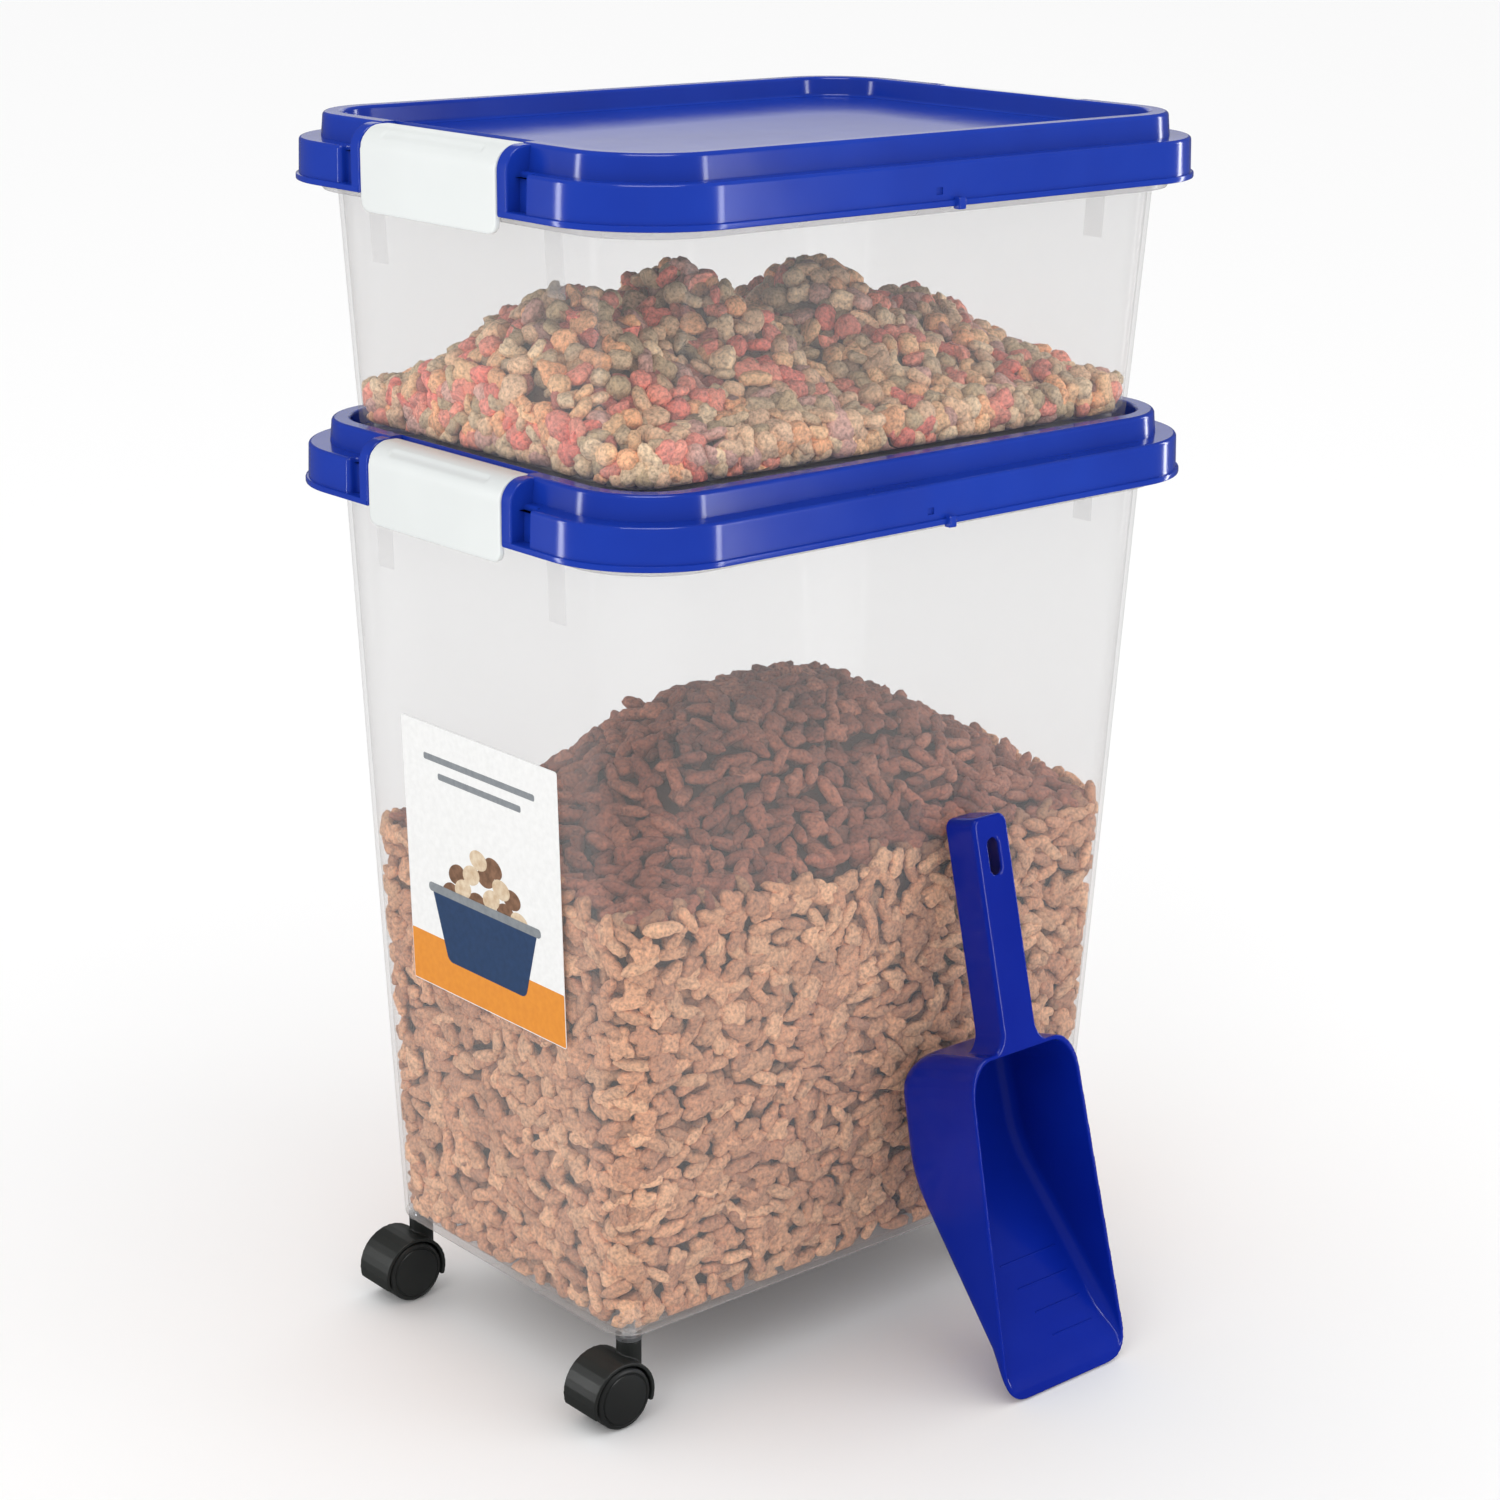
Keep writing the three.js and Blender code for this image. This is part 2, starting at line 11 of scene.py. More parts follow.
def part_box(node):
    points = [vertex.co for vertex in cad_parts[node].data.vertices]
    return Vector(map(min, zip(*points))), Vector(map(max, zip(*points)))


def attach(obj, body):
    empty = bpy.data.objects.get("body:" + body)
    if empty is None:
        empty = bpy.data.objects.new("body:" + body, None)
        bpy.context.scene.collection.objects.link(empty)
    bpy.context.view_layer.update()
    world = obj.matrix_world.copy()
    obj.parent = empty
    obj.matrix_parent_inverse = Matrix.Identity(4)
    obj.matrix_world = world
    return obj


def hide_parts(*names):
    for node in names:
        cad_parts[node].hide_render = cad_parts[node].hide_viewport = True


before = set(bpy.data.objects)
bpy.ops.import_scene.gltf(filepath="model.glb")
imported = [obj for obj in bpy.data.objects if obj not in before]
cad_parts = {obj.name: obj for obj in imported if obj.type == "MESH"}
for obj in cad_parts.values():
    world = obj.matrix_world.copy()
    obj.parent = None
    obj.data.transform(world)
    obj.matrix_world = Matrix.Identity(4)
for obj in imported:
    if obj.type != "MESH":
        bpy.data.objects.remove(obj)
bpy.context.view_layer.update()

MM = 0.001
ENDS = (("left", -1), ("right", 1))
CASTERS = ("front_left", "front_right", "back_left", "back_right")


def box_mm(node):
    low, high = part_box(node)
    return low / MM, high / MM


# ---------------------------------------------------------------- sizes from the frame

lid_low, lid_high = box_mm("lower_lid")
TAB_DROP = 1.4
TAB_PROUD = 2.4
LID_X = (lid_high.x - lid_low.x) / 2
LID_Y = (lid_high.y - lid_low.y) / 2 - TAB_PROUD
LID_CORNER = 58.0
CENTRE_Y = (lid_high.y + lid_low.y) / 2
LID_BASE = {level: box_mm(f"{level}_lid")[0].z + TAB_DROP for level in ("lower", "upper")}
RIM_TOP = lid_high.z - LID_BASE["lower"]
LEDGE = 21.3
SEAT = 18.6
TRAY = 22.9
RIM_INNER = 22.6
LATCH_HALF = 56.6
CHEEK_HALF = 64.6
VALLEY_HALF = 76.0
VALLEY_INSET = 8.0

MOUTH = (184.2, 134.2, 37.2)
WALL = 2.2
FOOT_ROUND = 4.5
FLOOR_ROUND = 5
PAD_AT, PAD_HALF, PAD_DROP = 73, 6.5, 38
BORE_RADIUS, BOSS_UNDER, BOSS_TOP = 4.3, 59.5, 62.0
BINS = {
    "lower": {"base": box_mm("lower_bin")[0].z, "floor": 49.0, "foot": (169.4, 103.9, 18.0)},
    "upper": {"base": box_mm("upper_bin")[0].z, "floor": 497.0, "foot": (176.2, 121.5, 24.0)},
}


# ---------------------------------------------------------------- outlines and lofts

def rounded(points, closed=True, degrees=9.0):
    """A run of (a, b, radius) points with each corner turned into an arc."""
    made = []
    count = len(points)
    for i, (a, b, radius) in enumerate(points):
        here = Vector((a, b))
        if radius <= 0 or (not closed and i in (0, count - 1)):
            made.append(here)
            continue
        before = Vector(points[i - 1][:2]) - here
        after = Vector(points[(i + 1) % count][:2]) - here
        half = before.angle(after) / 2
        towards = (before.normalized() + after.normalized()).normalized()
        centre = here + towards * (radius / math.sin(half))
        first = here + before.normalized() * (radius / math.tan(half)) - centre
        last = here + after.normalized() * (radius / math.tan(half)) - centre
        start = math.atan2(first.y, first.x)
        turn = (math.atan2(last.y, last.x) - start + math.pi) % (2 * math.pi) - math.pi
        steps = max(3, round(abs(math.degrees(turn)) / degrees))
        for step in range(steps + 1):
            angle = start + turn * step / steps
            made.append(centre + Vector((math.cos(angle), math.sin(angle))) * radius)
    return made


def rounded_rect(half_a, half_b, radius, degrees=5.0):
    corners = [(half_a, half_b), (-half_a, half_b), (-half_a, -half_b), (half_a, -half_b)]
    return rounded([(a, b, radius) for a, b in corners], degrees=degrees)


def moved_inward(outline, inset):
    """The outline moved in along its own normals (the outline runs anticlockwise)."""
    made = []
    for i, here in enumerate(outline):
        before = (here - outline[i - 1]).normalized()
        after = (outline[(i + 1) % len(outline)] - here).normalized()
        along = (before + after).normalized()
        stretch = 1 / max(0.3, along.dot(before))
        made.append(here + Vector((-along.y, along.x)) * inset * stretch)
    return made


def mesh_object(name, points, faces):
    mesh = bpy.data.meshes.new(name)
    mesh.from_pydata([Vector(p) * MM for p in points], [], faces)
    mesh.validate()
    made = bpy.data.objects.new(name, mesh)
    bpy.context.scene.collection.objects.link(made)
    return made


def loft(name, rings, loop=False):
    """A closed skin through rings of points, capped at both ends unless it is a loop."""
    count = len(rings[0])
    points = [p for ring in rings for p in ring]
    faces = []
    for band in range(len(rings) if loop else len(rings) - 1):
        lower = band * count
        upper = (band + 1) % len(rings) * count
        for i in range(count):
            following = (i + 1) % count
            faces.append((lower + i, lower + following, upper + following, upper + i))
    if not loop:
        faces.append(tuple(reversed(range(count))))
        last = (len(rings) - 1) * count
        faces.append(tuple(range(last, last + count)))
    return mesh_object(name, points, faces)


def sweep(name, outline, profile, loop=False, axis="z"):
    """An outline carried along an axis, each profile point giving an inset and a place on the axis."""
    rings = []
    for inset, along in profile:
        flat = moved_inward(outline, inset)
        if axis == "z":
            rings.append([(p.x, p.y, along) for p in flat])
        else:
            rings.append([(p.x, -along, p.y) for p in flat])
    return loft(name, rings, loop)


def pillow(depth, radius, start=0.0):
    """A sweep profile of a slab with rounded edges."""
    arc = [math.radians(a) for a in (0, 30, 60, 90)]
    low = [(radius - radius * math.sin(a), start + radius - radius * math.cos(a)) for a in arc]
    high = [(inset, start + depth - (along - start)) for inset, along in reversed(low)]
    return low + high


def combine(base, other, operation):
    cut = base.modifiers.new("combine", "BOOLEAN")
    cut.operation = operation
    cut.solver = "MANIFOLD"
    cut.object = other
    settle(base)
    bpy.data.objects.remove(other)
    return base


def settle(piece):
    """Applies a piece's modifiers."""
    graph = bpy.context.evaluated_depsgraph_get()
    made = bpy.data.meshes.new_from_object(piece.evaluated_get(graph))
    piece.modifiers.clear()
    piece.data = made
    return piece


def moved(piece, x=0.0, y=0.0, z=0.0, turn=0.0):
    matrix = Matrix.Translation(Vector((x, y, z)) * MM) @ Matrix.Rotation(turn, 4, "Z")
    piece.data.transform(matrix)
    return piece


def smoothed(piece, degrees=35.0, weighted=True):
    piece.data.shade_smooth()
    piece.data.set_sharp_from_angle(angle=math.radians(degrees))
    if weighted:
        weigh = piece.modifiers.new("weigh", "WEIGHTED_NORMAL")
        weigh.keep_sharp = True
    return piece


def tidied(piece, weld=0.0):
    """Joins points that lie on each other and turns every face outward."""
    bm = bmesh.new()
    bm.from_mesh(piece.data)
    bmesh.ops.remove_doubles(bm, verts=bm.verts, dist=weld * MM)
    bmesh.ops.recalc_face_normals(bm, faces=bm.faces)
    bm.to_mesh(piece.data)
    bm.free()
    return piece


def joined(name, parts):
    bm = bmesh.new()
    for part in parts:
        bm.from_mesh(part.data)
        bpy.data.objects.remove(part)
    mesh = bpy.data.meshes.new(name)
    bm.to_mesh(mesh)
    bm.free()
    made = bpy.data.objects.new(name, mesh)
    bpy.context.scene.collection.objects.link(made)
    return made


def welded(node):
    """A new object with a copy of a CAD node's mesh, joined up into one skin."""
    made = bpy.data.objects.new(f"{node}_copy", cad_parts[node].data.copy())
    bpy.context.scene.collection.objects.link(made)
    made.data.materials.clear()
    return tidied(made, 0.002)


def remeshed(name, made, voxel, rounds):
    """Softens all the edges of a mesh."""
    made.name = name
    remesh = made.modifiers.new("remesh", "REMESH")
    remesh.mode = "VOXEL"
    remesh.voxel_size = voxel * MM
    remesh.use_smooth_shade = True
    soften = made.modifiers.new("soften", "SMOOTH")
    soften.factor = 0.5
    soften.iterations = rounds
    settle(made)
    made.data.shade_smooth()
    return made


def put(piece, body, material, slot, *nodes):
    piece.data.materials.clear()
    piece.data.materials.append(material)
    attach(piece, body)
    if nodes:
        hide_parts(*nodes)
    return piece


# ---------------------------------------------------------------- materials

class Look:
    """A procedural material on one Principled shader."""

    def __init__(self, name):
        self.material = bpy.data.materials.new(name)
        self.material.use_nodes = True
        self.tree = self.material.node_tree
        self.shader = self.tree.nodes["Principled BSDF"]

    def node(self, kind, **values):
        made = self.tree.nodes.new(kind)
        for key, value in values.items():
            if hasattr(made, key) and key not in made.inputs:
                setattr(made, key, value)
            else:
                made.inputs[key].default_value = value
        return made

    def link(self, source, target):
        self.tree.links.new(source, target)

    def set(self, **values):
        for key, value in values.items():
            self.shader.inputs[key.replace("_", " ")].default_value = value

    def place(self, stretch=(1, 1, 1)):
        where = self.node("ShaderNodeTexCoord")
        mapping = self.node("ShaderNodeMapping")
        mapping.inputs["Scale"].default_value = stretch
        self.link(where.outputs["Object"], mapping.inputs["Vector"])
        return mapping.outputs["Vector"]

    def noise(self, scale, detail=3.0, stretch=(1, 1, 1), roughness=0.5):
        made = self.node("ShaderNodeTexNoise", Scale=scale, Detail=detail, Roughness=roughness)
        self.link(self.place(stretch), made.inputs["Vector"])
        return made.outputs["Fac"]

    def ramp(self, source, *stops):
        made = self.node("ShaderNodeValToRGB")
        elements = made.color_ramp.elements
        while len(elements) < len(stops):
            elements.new(0.5)
        for element, (place, colour) in zip(elements, stops):
            element.position = place
            element.color = (*colour, 1.0) if len(colour) == 3 else colour
        self.link(source, made.inputs["Fac"])
        return made.outputs["Color"]

    def spread(self, source, low, high):
        made = self.node("ShaderNodeMapRange")
        made.inputs["To Min"].default_value = low
        made.inputs["To Max"].default_value = high
        self.link(source, made.inputs["Value"])
        return made.outputs["Result"]

    def bump(self, source, strength, distance):
        made = self.node("ShaderNodeBump", Strength=strength, Distance=distance)
        self.link(source, made.inputs["Height"])
        self.link(made.outputs["Normal"], self.shader.inputs["Normal"])


def moulded(name, dark, light, roughness, texture, bump, shine=0.5):
    """Moulded plastic: faint colour drift, faint haze and a fine surface."""
    look = Look(name)
    look.link(look.ramp(look.noise(14), (0.3, dark), (0.7, light)), look.shader.inputs["Base Color"])
    haze = look.spread(look.noise(45, 5), roughness[0], roughness[1])
    look.link(haze, look.shader.inputs["Roughness"])
    look.bump(look.noise(texture, 2), bump, 0.0002)
    look.set(IOR=1.5, Specular_IOR_Level=shine)
    return look.material


def clear_plastic(name, thin, edge):
    """Milky clear plastic: a veil that thickens where the wall is seen edge on."""
    look = Look(name)
    cloud = look.ramp(look.noise(9), (0.3, (0.56, 0.545, 0.54)), (0.7, (0.62, 0.605, 0.60)))
    look.link(cloud, look.shader.inputs["Base Color"])
    look.link(look.spread(look.noise(30, 4), 0.12, 0.22), look.shader.inputs["Roughness"])
    facing = look.node("ShaderNodeLayerWeight", Blend=0.12)
    look.link(look.spread(facing.outputs["Facing"], thin, edge), look.shader.inputs["Alpha"])
    look.bump(look.noise(60, 2), 0.05, 0.0003)
    look.set(IOR=1.49)
    return look.material


def kibble_look(name, rough=0.75):
    """Baked food: each piece has its own colour, darkened as painted shade for the pieces that lie deeper, with
    toasted high spots and pores.
    """
    look = Look(name)
    own = look.node("ShaderNodeAttribute", attribute_name="tint")
    crumb = look.noise(480, 4, roughness=0.7)
    toasted, plain, pale = (0.42, 0.38, 0.35), (0.98, 0.97, 0.96), (1.40, 1.36, 1.30)
    shade = look.ramp(crumb, (0.32, toasted), (0.5, plain), (0.68, pale))
    mix = look.node("ShaderNodeMix", data_type="RGBA", blend_type="MULTIPLY")
    mix.inputs["Factor"].default_value = 1.0
    look.link(own.outputs["Color"], mix.inputs["A"])
    look.link(shade, mix.inputs["B"])
    look.link(mix.outputs["Result"], look.shader.inputs["Base Color"])
    look.link(look.spread(crumb, rough - 0.1, rough + 0.15), look.shader.inputs["Roughness"])
    look.bump(look.noise(520, 4, roughness=0.65), 0.9, 0.0009)
    return look.material


def metal(name):
    look = Look(name)
    grain = look.noise(220, 3, stretch=(1, 1, 12))
    colour = look.ramp(grain, (0.3, (0.50, 0.51, 0.53)), (0.7, (0.68, 0.69, 0.71)))
    look.link(colour, look.shader.inputs["Base Color"])
    look.link(look.spread(grain, 0.22, 0.4), look.shader.inputs["Roughness"])
    look.bump(grain, 0.08, 0.0002)
    look.set(Metallic=1.0)
    return look.material


def card(name, dark, light):
    """Printed card: a satin face with a trace of paper grain."""
    look = Look(name)
    look.link(look.ramp(look.noise(300, 4), (0.3, dark), (0.7, light)), look.shader.inputs["Base Color"])
    look.link(look.spread(look.noise(90), 0.38, 0.5), look.shader.inputs["Roughness"])
    look.bump(look.noise(900, 2), 0.05, 0.0001)
    return look.material


blue = moulded(
    "royal_blue_plastic", (0.008, 0.036, 0.36), (0.010, 0.046, 0.42), (0.12, 0.18), 120, 0.02, 0.42)
scoop_blue = moulded(
    "scoop_blue_plastic", (0.002, 0.014, 0.27), (0.003, 0.019, 0.32), (0.12, 0.18), 90, 0.03, 0.22)
white = moulded("white_plastic", (0.77, 0.80, 0.79), (0.80, 0.83, 0.82), (0.28, 0.38), 400, 0.05)
black = moulded("black_plastic", (0.013, 0.015, 0.014), (0.020, 0.023, 0.021), (0.36, 0.5), 900, 0.18)
tread = moulded("wheel_plastic", (0.012, 0.013, 0.013), (0.020, 0.022, 0.021), (0.34, 0.5), 700, 0.12)
seal = moulded("seal_rubber", (0.62, 0.63, 0.64), (0.70, 0.71, 0.72), (0.6, 0.75), 600, 0.1)
clear = clear_plastic("milky_clear_plastic", 0.075, 0.45)
thick_clear = clear_plastic("milky_clear_plastic_thick", 0.34, 0.75)
steel = metal("zinc_steel")


# ---------------------------------------------------------------- lids

def lid_outline(inset, steps):
    """The lid's outline at an inset, with the same steps (half width, inset, radius) at both ends."""
    end = []
    current = inset
    for half, depth, radius in steps:
        end += [(LID_X - current, -half, radius), (LID_X - depth, -half, radius)]
        current = depth
    end += [(a, -b, radius) for a, b, radius in reversed(end)]
    corner = (LID_X - inset, LID_Y - inset, LID_CORNER - inset)
    side = [(corner[0], -corner[1], corner[2])] + end + [corner]
    return rounded(side + [(-a, -b, radius) for a, b, radius in side], degrees=5)


def arc(centre, radius, start, stop, steps=5):
    """Profile points (inset, height) on an arc, angles in degrees: 0 points inward, 90 up."""
    turns = [math.radians(start + (stop - start) * i / steps) for i in range(steps + 1)]
    return [(centre[0] + radius * math.cos(a), centre[1] + radius * math.sin(a)) for a in turns]


def lid(level):
    base = LID_BASE[level]
    bead = [(0.6, 0.0), (0.18, 0.18), (0.0, 0.6), (0.0, 2.3), (0.2, 2.8), (0.7, 3.05), (2.4, 3.2)]
    body = sweep("lid_body", lid_outline(0.0, []), bead)

    skirt_outline = lid_outline(1.6, [(VALLEY_HALF, VALLEY_INSET, 2.6)])
    skirt = [(0.0, 1.0), (0.0, 3.6), (0.5, 19.2)] + arc((2.4, 19.4), 1.9, 178, 90)
    combine(body, sweep("skirt", skirt_outline, skirt), "UNION")

    rim = [(0.0, SEAT + 1), (0.0, LEDGE)] + [(0.9, 31.0)] + arc((3.3, RIM_TOP - 2.4), 2.4, 176, 90, 6)
    combine(body, sweep("rim", lid_outline(13.4, []), rim), "UNION")

    tray_outline = rounded_rect(LID_X - RIM_INNER, LID_Y - RIM_INNER, LID_CORNER - RIM_INNER)
    tray = arc((4.8, TRAY + 1.8), 1.8, 270, 180, 5)
    tray += [(2.0, RIM_TOP - 2.2)] + arc((0.0, RIM_TOP - 2.0), 2.0, 0, 90, 5) + [(0.0, RIM_TOP + 3)]
    combine(body, sweep("tray", tray_outline, tray), "DIFFERENCE")

    for _, end in ENDS:
        for inset, low, high in ((12.0, -2.0, LEDGE), (22.4, LEDGE - 0.05, RIM_TOP + 3)):
            half = LATCH_HALF + 1.4
            near, far = LID_X - inset, LID_X + 4
            notch = [(near, half, 0), (near, -half, 0), (far, -half, 0), (far, half, 0)]
            cut = sweep("notch", rounded(notch), [(0.0, low), (0.0, high)])
            combine(body, moved(cut, turn=0 if end > 0 else math.pi), "DIFFERENCE")

    hollow = lid_outline(4.0, [(VALLEY_HALF + 2.2, VALLEY_INSET + 2.4, 1.2)])
    combine(body, sweep("hollow", hollow, [(0.0, -1.0), (0.3, SEAT - 1.5), (1.2, SEAT)]), "DIFFERENCE")
    under = rounded_rect(LID_X - 24.8, LID_Y - 24.8, LID_CORNER - 24.8)
    under_profile = [(0.0, SEAT - 4), (0.0, TRAY - 2.6), (0.3, TRAY - 2.4)]
    combine(body, sweep("under", under, under_profile), "DIFFERENCE")

    for _, end in ENDS:
        for side in (-1, 1):
            combine(body, cheek(end, side), "UNION")
    for side in (-1, 1):
        tab = sweep("tab", rounded_rect(2.5, 2.2, 0.8), [(0.4, -TAB_DROP), (0, -1.0), (0, 3.8), (0.5, 4.3)])
        combine(body, moved(tab, y=side * (LID_Y + 0.2)), "UNION")
        dimple = sweep("dimple", rounded_rect(2.2, 1.4, 0.5), [(0.0, 6.0), (0.0, 9.5)])
        combine(body, moved(dimple, x=side * 12.0, y=side * (LID_Y - 1.4)), "DIFFERENCE")
    moved(body, y=CENTRE_Y, z=base)
    body.name = f"{level}_lid_shell"
    smoothed(body)
    put(body, f"{level}_lid_body", blue, "blue_plastic", f"{level}_lid")


def cheek(end, side):
    """A block with a quarter-round shoulder, one at each side of the latch."""
    face = LID_X - 0.3
    top = RIM_TOP - 0.6
    outline = rounded([
        (LID_X - RIM_INNER, SEAT, 0), (LID_X - 9.5, SEAT, 0), (LID_X - 9.5, 0.4, 0), (face, 0.4, 0.4),
        (face, top, 12.0), (LID_X - RIM_INNER, top, 0),
    ], degrees=7)
    width = CHEEK_HALF - LATCH_HALF
    block = sweep("cheek", outline, pillow(width, 0.9, -CHEEK_HALF), axis="y")
    if side * end < 0:
        block.data.transform(Matrix.Diagonal((1, -1, 1, 1)))
        block.data.flip_normals()
    return moved(block, turn=0 if end > 0 else math.pi)


def gasket(level):
    outline = rounded_rect(LID_X - 15.4, LID_Y - 15.4, LID_CORNER - 15.4)
    low, high = (corner.z - LID_BASE[level] for corner in box_mm(f"{level}_gasket"))
    section = [
        (0.8, low), (7.6, low), (8.4, low + 0.8), (8.4, high - 0.8),
        (7.6, high), (0.8, high), (0, high - 0.8), (0, low + 0.8),
    ]
    ring = sweep(f"{level}_seal_ring", outline, section, loop=True)
    ring.data.flip_normals()
    moved(ring, y=CENTRE_Y, z=LID_BASE[level])
    smoothed(ring, 50)
    put(ring, f"{level}_lid_body", seal, "seal", f"{level}_gasket")


def latch(level, label):
    """The CAD latch with its corners rounded off and its edges softened."""
    node = f"{level}_latch_{label}"
    low, high = box_mm(node)
    source = welded(node)
    middle = (low.z + high.z) / 2
    half = (high.z - low.z) / 2
    wide, top = LATCH_HALF - 0.6, half + 1
    mask = rounded([(-wide, -half, 6.0), (wide, -half, 6.0), (wide, top, 0.5), (-wide, top, 0.5)], degrees=9)
    rings = [[(x, p.x + CENTRE_Y, p.y + middle) for p in mask] for x in (low.x - 2, high.x + 2)]
    combine(source, loft("mask", rings), "INTERSECT")
    piece = remeshed(f"{node}_cover", source, 0.6, 7)
    put(piece, f"{node}_body", white, "white_plastic", node)


for level in ("lower", "upper"):
    lid(level)
    gasket(level)
    for label, _ in ENDS:
        latch(level, label)


# ---------------------------------------------------------------- bins

def wall_size(level, z, inward):
    """Half length, half width and corner radius of a bin's wall at a height, or at an array of heights."""
    one = BINS[level]
    share = (z - one["base"]) / (LID_BASE[level] - one["base"])
    return [foot + (mouth - foot) * share - inward for foot, mouth in zip(one["foot"], MOUTH)]


def circle(x, y, radius, z):
    turns = [math.tau * i / 32 for i in range(32)]
    return [(x + radius * math.cos(a), y + radius * math.sin(a), z) for a in turns]


def bin_shell(level):
    one = BINS[level]
    base, floor, rim = one["base"], one["floor"], LID_BASE[level]
    rings = []

    def ring(size, z):
        flat = rounded_rect(size[0], size[1], max(size[2], 0.6), degrees=5)
        rings.append([(p.x, p.y + CENTRE_Y, z) for p in flat])

    def flange(inset, height):
        ring((LID_X - inset, LID_Y - inset, LID_CORNER - inset), rim + height)

    for step in range(5):
        angle = math.radians(90 * step / 4)
        inward, rise = FOOT_ROUND * (1 - math.sin(angle)), FOOT_ROUND * (1 - math.cos(angle))
        ring(wall_size(level, base, inward), base + rise)
    for share in (0.25, 0.5, 0.75):
        z = base + (rim - base) * share
        ring(wall_size(level, z, 0), z)
    ring(wall_size(level, rim - 1.6, 0), rim - 1.6)
    ring([a + 0.8 for a in wall_size(level, rim - 0.8, 0)], rim - 0.8)
    for inset, height in (
        (15.2, -0.8), (14.7, -1.2), (14.6, -4.7), (14.3, -5.0), (13.8, -5.0), (13.5, -4.6),
        (11.1, 0.1), (11.0, 0.5), (11.0, 1.2), (11.3, 1.5), (17.9, 1.5), (18.4, 2.0), (18.4, 12.5),
        (18.9, 13.0), (20.4, 13.0), (20.9, 12.5), (20.9, 3.0),
    ):
        flange(inset, height)
    ring(wall_size(level, rim - 1, WALL), rim - 1)
    for share in (0.75, 0.5, 0.25):
        z = base + (rim - base) * share
        ring(wall_size(level, z, WALL), z)
    for step in range(5):
        angle = math.radians(90 * step / 4)
        inward = WALL + FLOOR_ROUND * (1 - math.cos(angle))
        ring(wall_size(level, floor + FLOOR_ROUND, inward), floor + FLOOR_ROUND * (1 - math.sin(angle)))
    shell = loft(f"{level}_bin_shell", rings)
    extras = []
    top = wall_size(level, rim - 0.9, 0)[0]
    foot = wall_size(level, rim - PAD_DROP, 0)[0]
    pad = [(top + 0.05, rim - 1.4), (top + 0.9, rim - 1.4)]
    pad += [(foot + 0.9, rim - PAD_DROP), (foot + 0.05, rim - PAD_DROP)]
    for _, end in ENDS:
        for side in (-1, 1):
            slices = [[(x, CENTRE_Y + side * PAD_AT + y, z) for x, z in pad] for y in (PAD_HALF, -PAD_HALF)]
            block = loft("pad", slices)
            if end < 0:
                block.data.transform(Matrix.Diagonal((-1, 1, 1, 1)))
            extras.append(tidied(block))
    if level == "upper":
        inner = wall_size(level, base, 7)
        flat = rounded_rect(*inner)
        hollow = loft("hollow", [[(p.x, p.y + CENTRE_Y, z) for p in flat] for z in (base - 1, floor - 2.6)])
        combine(shell, hollow, "DIFFERENCE")
    else:
        for name in CASTERS:
            low, high = box_mm(f"caster_stem_{name}")
            x, y = (low.x + high.x) / 2, (low.y + high.y) / 2
            boss = [(BORE_RADIUS, floor + 0.1), (7.0, floor + 0.1), (6.6, BOSS_TOP), (0.2, BOSS_TOP)]
            boss += [(0.2, BOSS_UNDER), (BORE_RADIUS, BOSS_UNDER)]
            extras.append(tidied(loft("boss", [circle(x, y, *one) for one in boss], loop=True)))
            bore = [circle(x, y, BORE_RADIUS, z) for z in (base - 1, floor + 1)]
            combine(shell, loft("bore", bore), "DIFFERENCE")
    shell.name = "plain_shell"
    shell = joined(f"{level}_bin_shell", [shell] + extras)
    smoothed(shell, 32)
    put(shell, f"{level}_bin_body", clear, "clear_plastic", f"{level}_bin")
    shell.data.materials.append(thick_clear)
    for face in shell.data.polygons:
        face.material_index = 0 if floor + 0.6 < face.center.z / MM < rim - 5.5 else 1
    shell.visible_shadow = False
    shell.visible_diffuse = False


for level in BINS:
    bin_shell(level)


# ---------------------------------------------------------------- casters

def lathe_y(name, profile, centre, side, segments=64):
    """A solid of revolution about a line along Y. The profile gives (radius, distance out from the web)."""
    turns = [math.tau * i / segments for i in range(segments)]
    x, y, z = centre
    rings = [
        [(x + radius * math.cos(a), y + side * out, z + radius * math.sin(a)) for a in turns]
        for radius, out in profile
    ]
    return tidied(loft(name, rings, loop=True))


def wheel(name, label, side):
    node = f"caster_wheel_{label}_{name}"
    low, high = box_mm(node)
    centre = (low + high) / 2
    centre.y = low.y if side > 0 else high.y
    radius = (high.z - low.z) / 2
    width = high.y - low.y
    profile = [
        (2.3, 0.0), (radius - 1.6, 0.0), (radius - 0.5, 0.4), (radius, 1.4), (radius, width - 3.0),
        (radius - 0.4, width - 1.9), (radius - 1.4, width - 1.2), (radius - 2.2, width - 1.1),
        (radius - 2.6, width - 1.6), (radius - 3.1, width - 1.6), (radius - 3.5, width - 0.9),
        (radius - 6.5, width - 0.4), (4.4, width - 0.1), (0.02, width), (0.02, width - 2.4),
        (2.3, width - 2.4),
    ]
    made = lathe_y(f"{node}_tyre", profile, centre, side)
    smoothed(made, 40)
    put(made, f"wheel_{label}_{name}_body", tread, "wheel_plastic", node)


for name in CASTERS:
    node = f"caster_hood_{name}"
    hood = remeshed(f"{node}_shell", welded(node), 0.45, 4)
    put(hood, f"swivel_{name}_body", black, "black_plastic", node)
    for label, side in (("a", -1), ("b", 1)):
        wheel(name, label, side)

for node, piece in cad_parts.items():
    if any(part in node for part in ("_pin_", "_stem_", "_axle_")):
        piece.data.materials.clear()
        piece.data.materials.append(steel)
        smoothed(piece, 40)


# ---------------------------------------------------------------- scoop

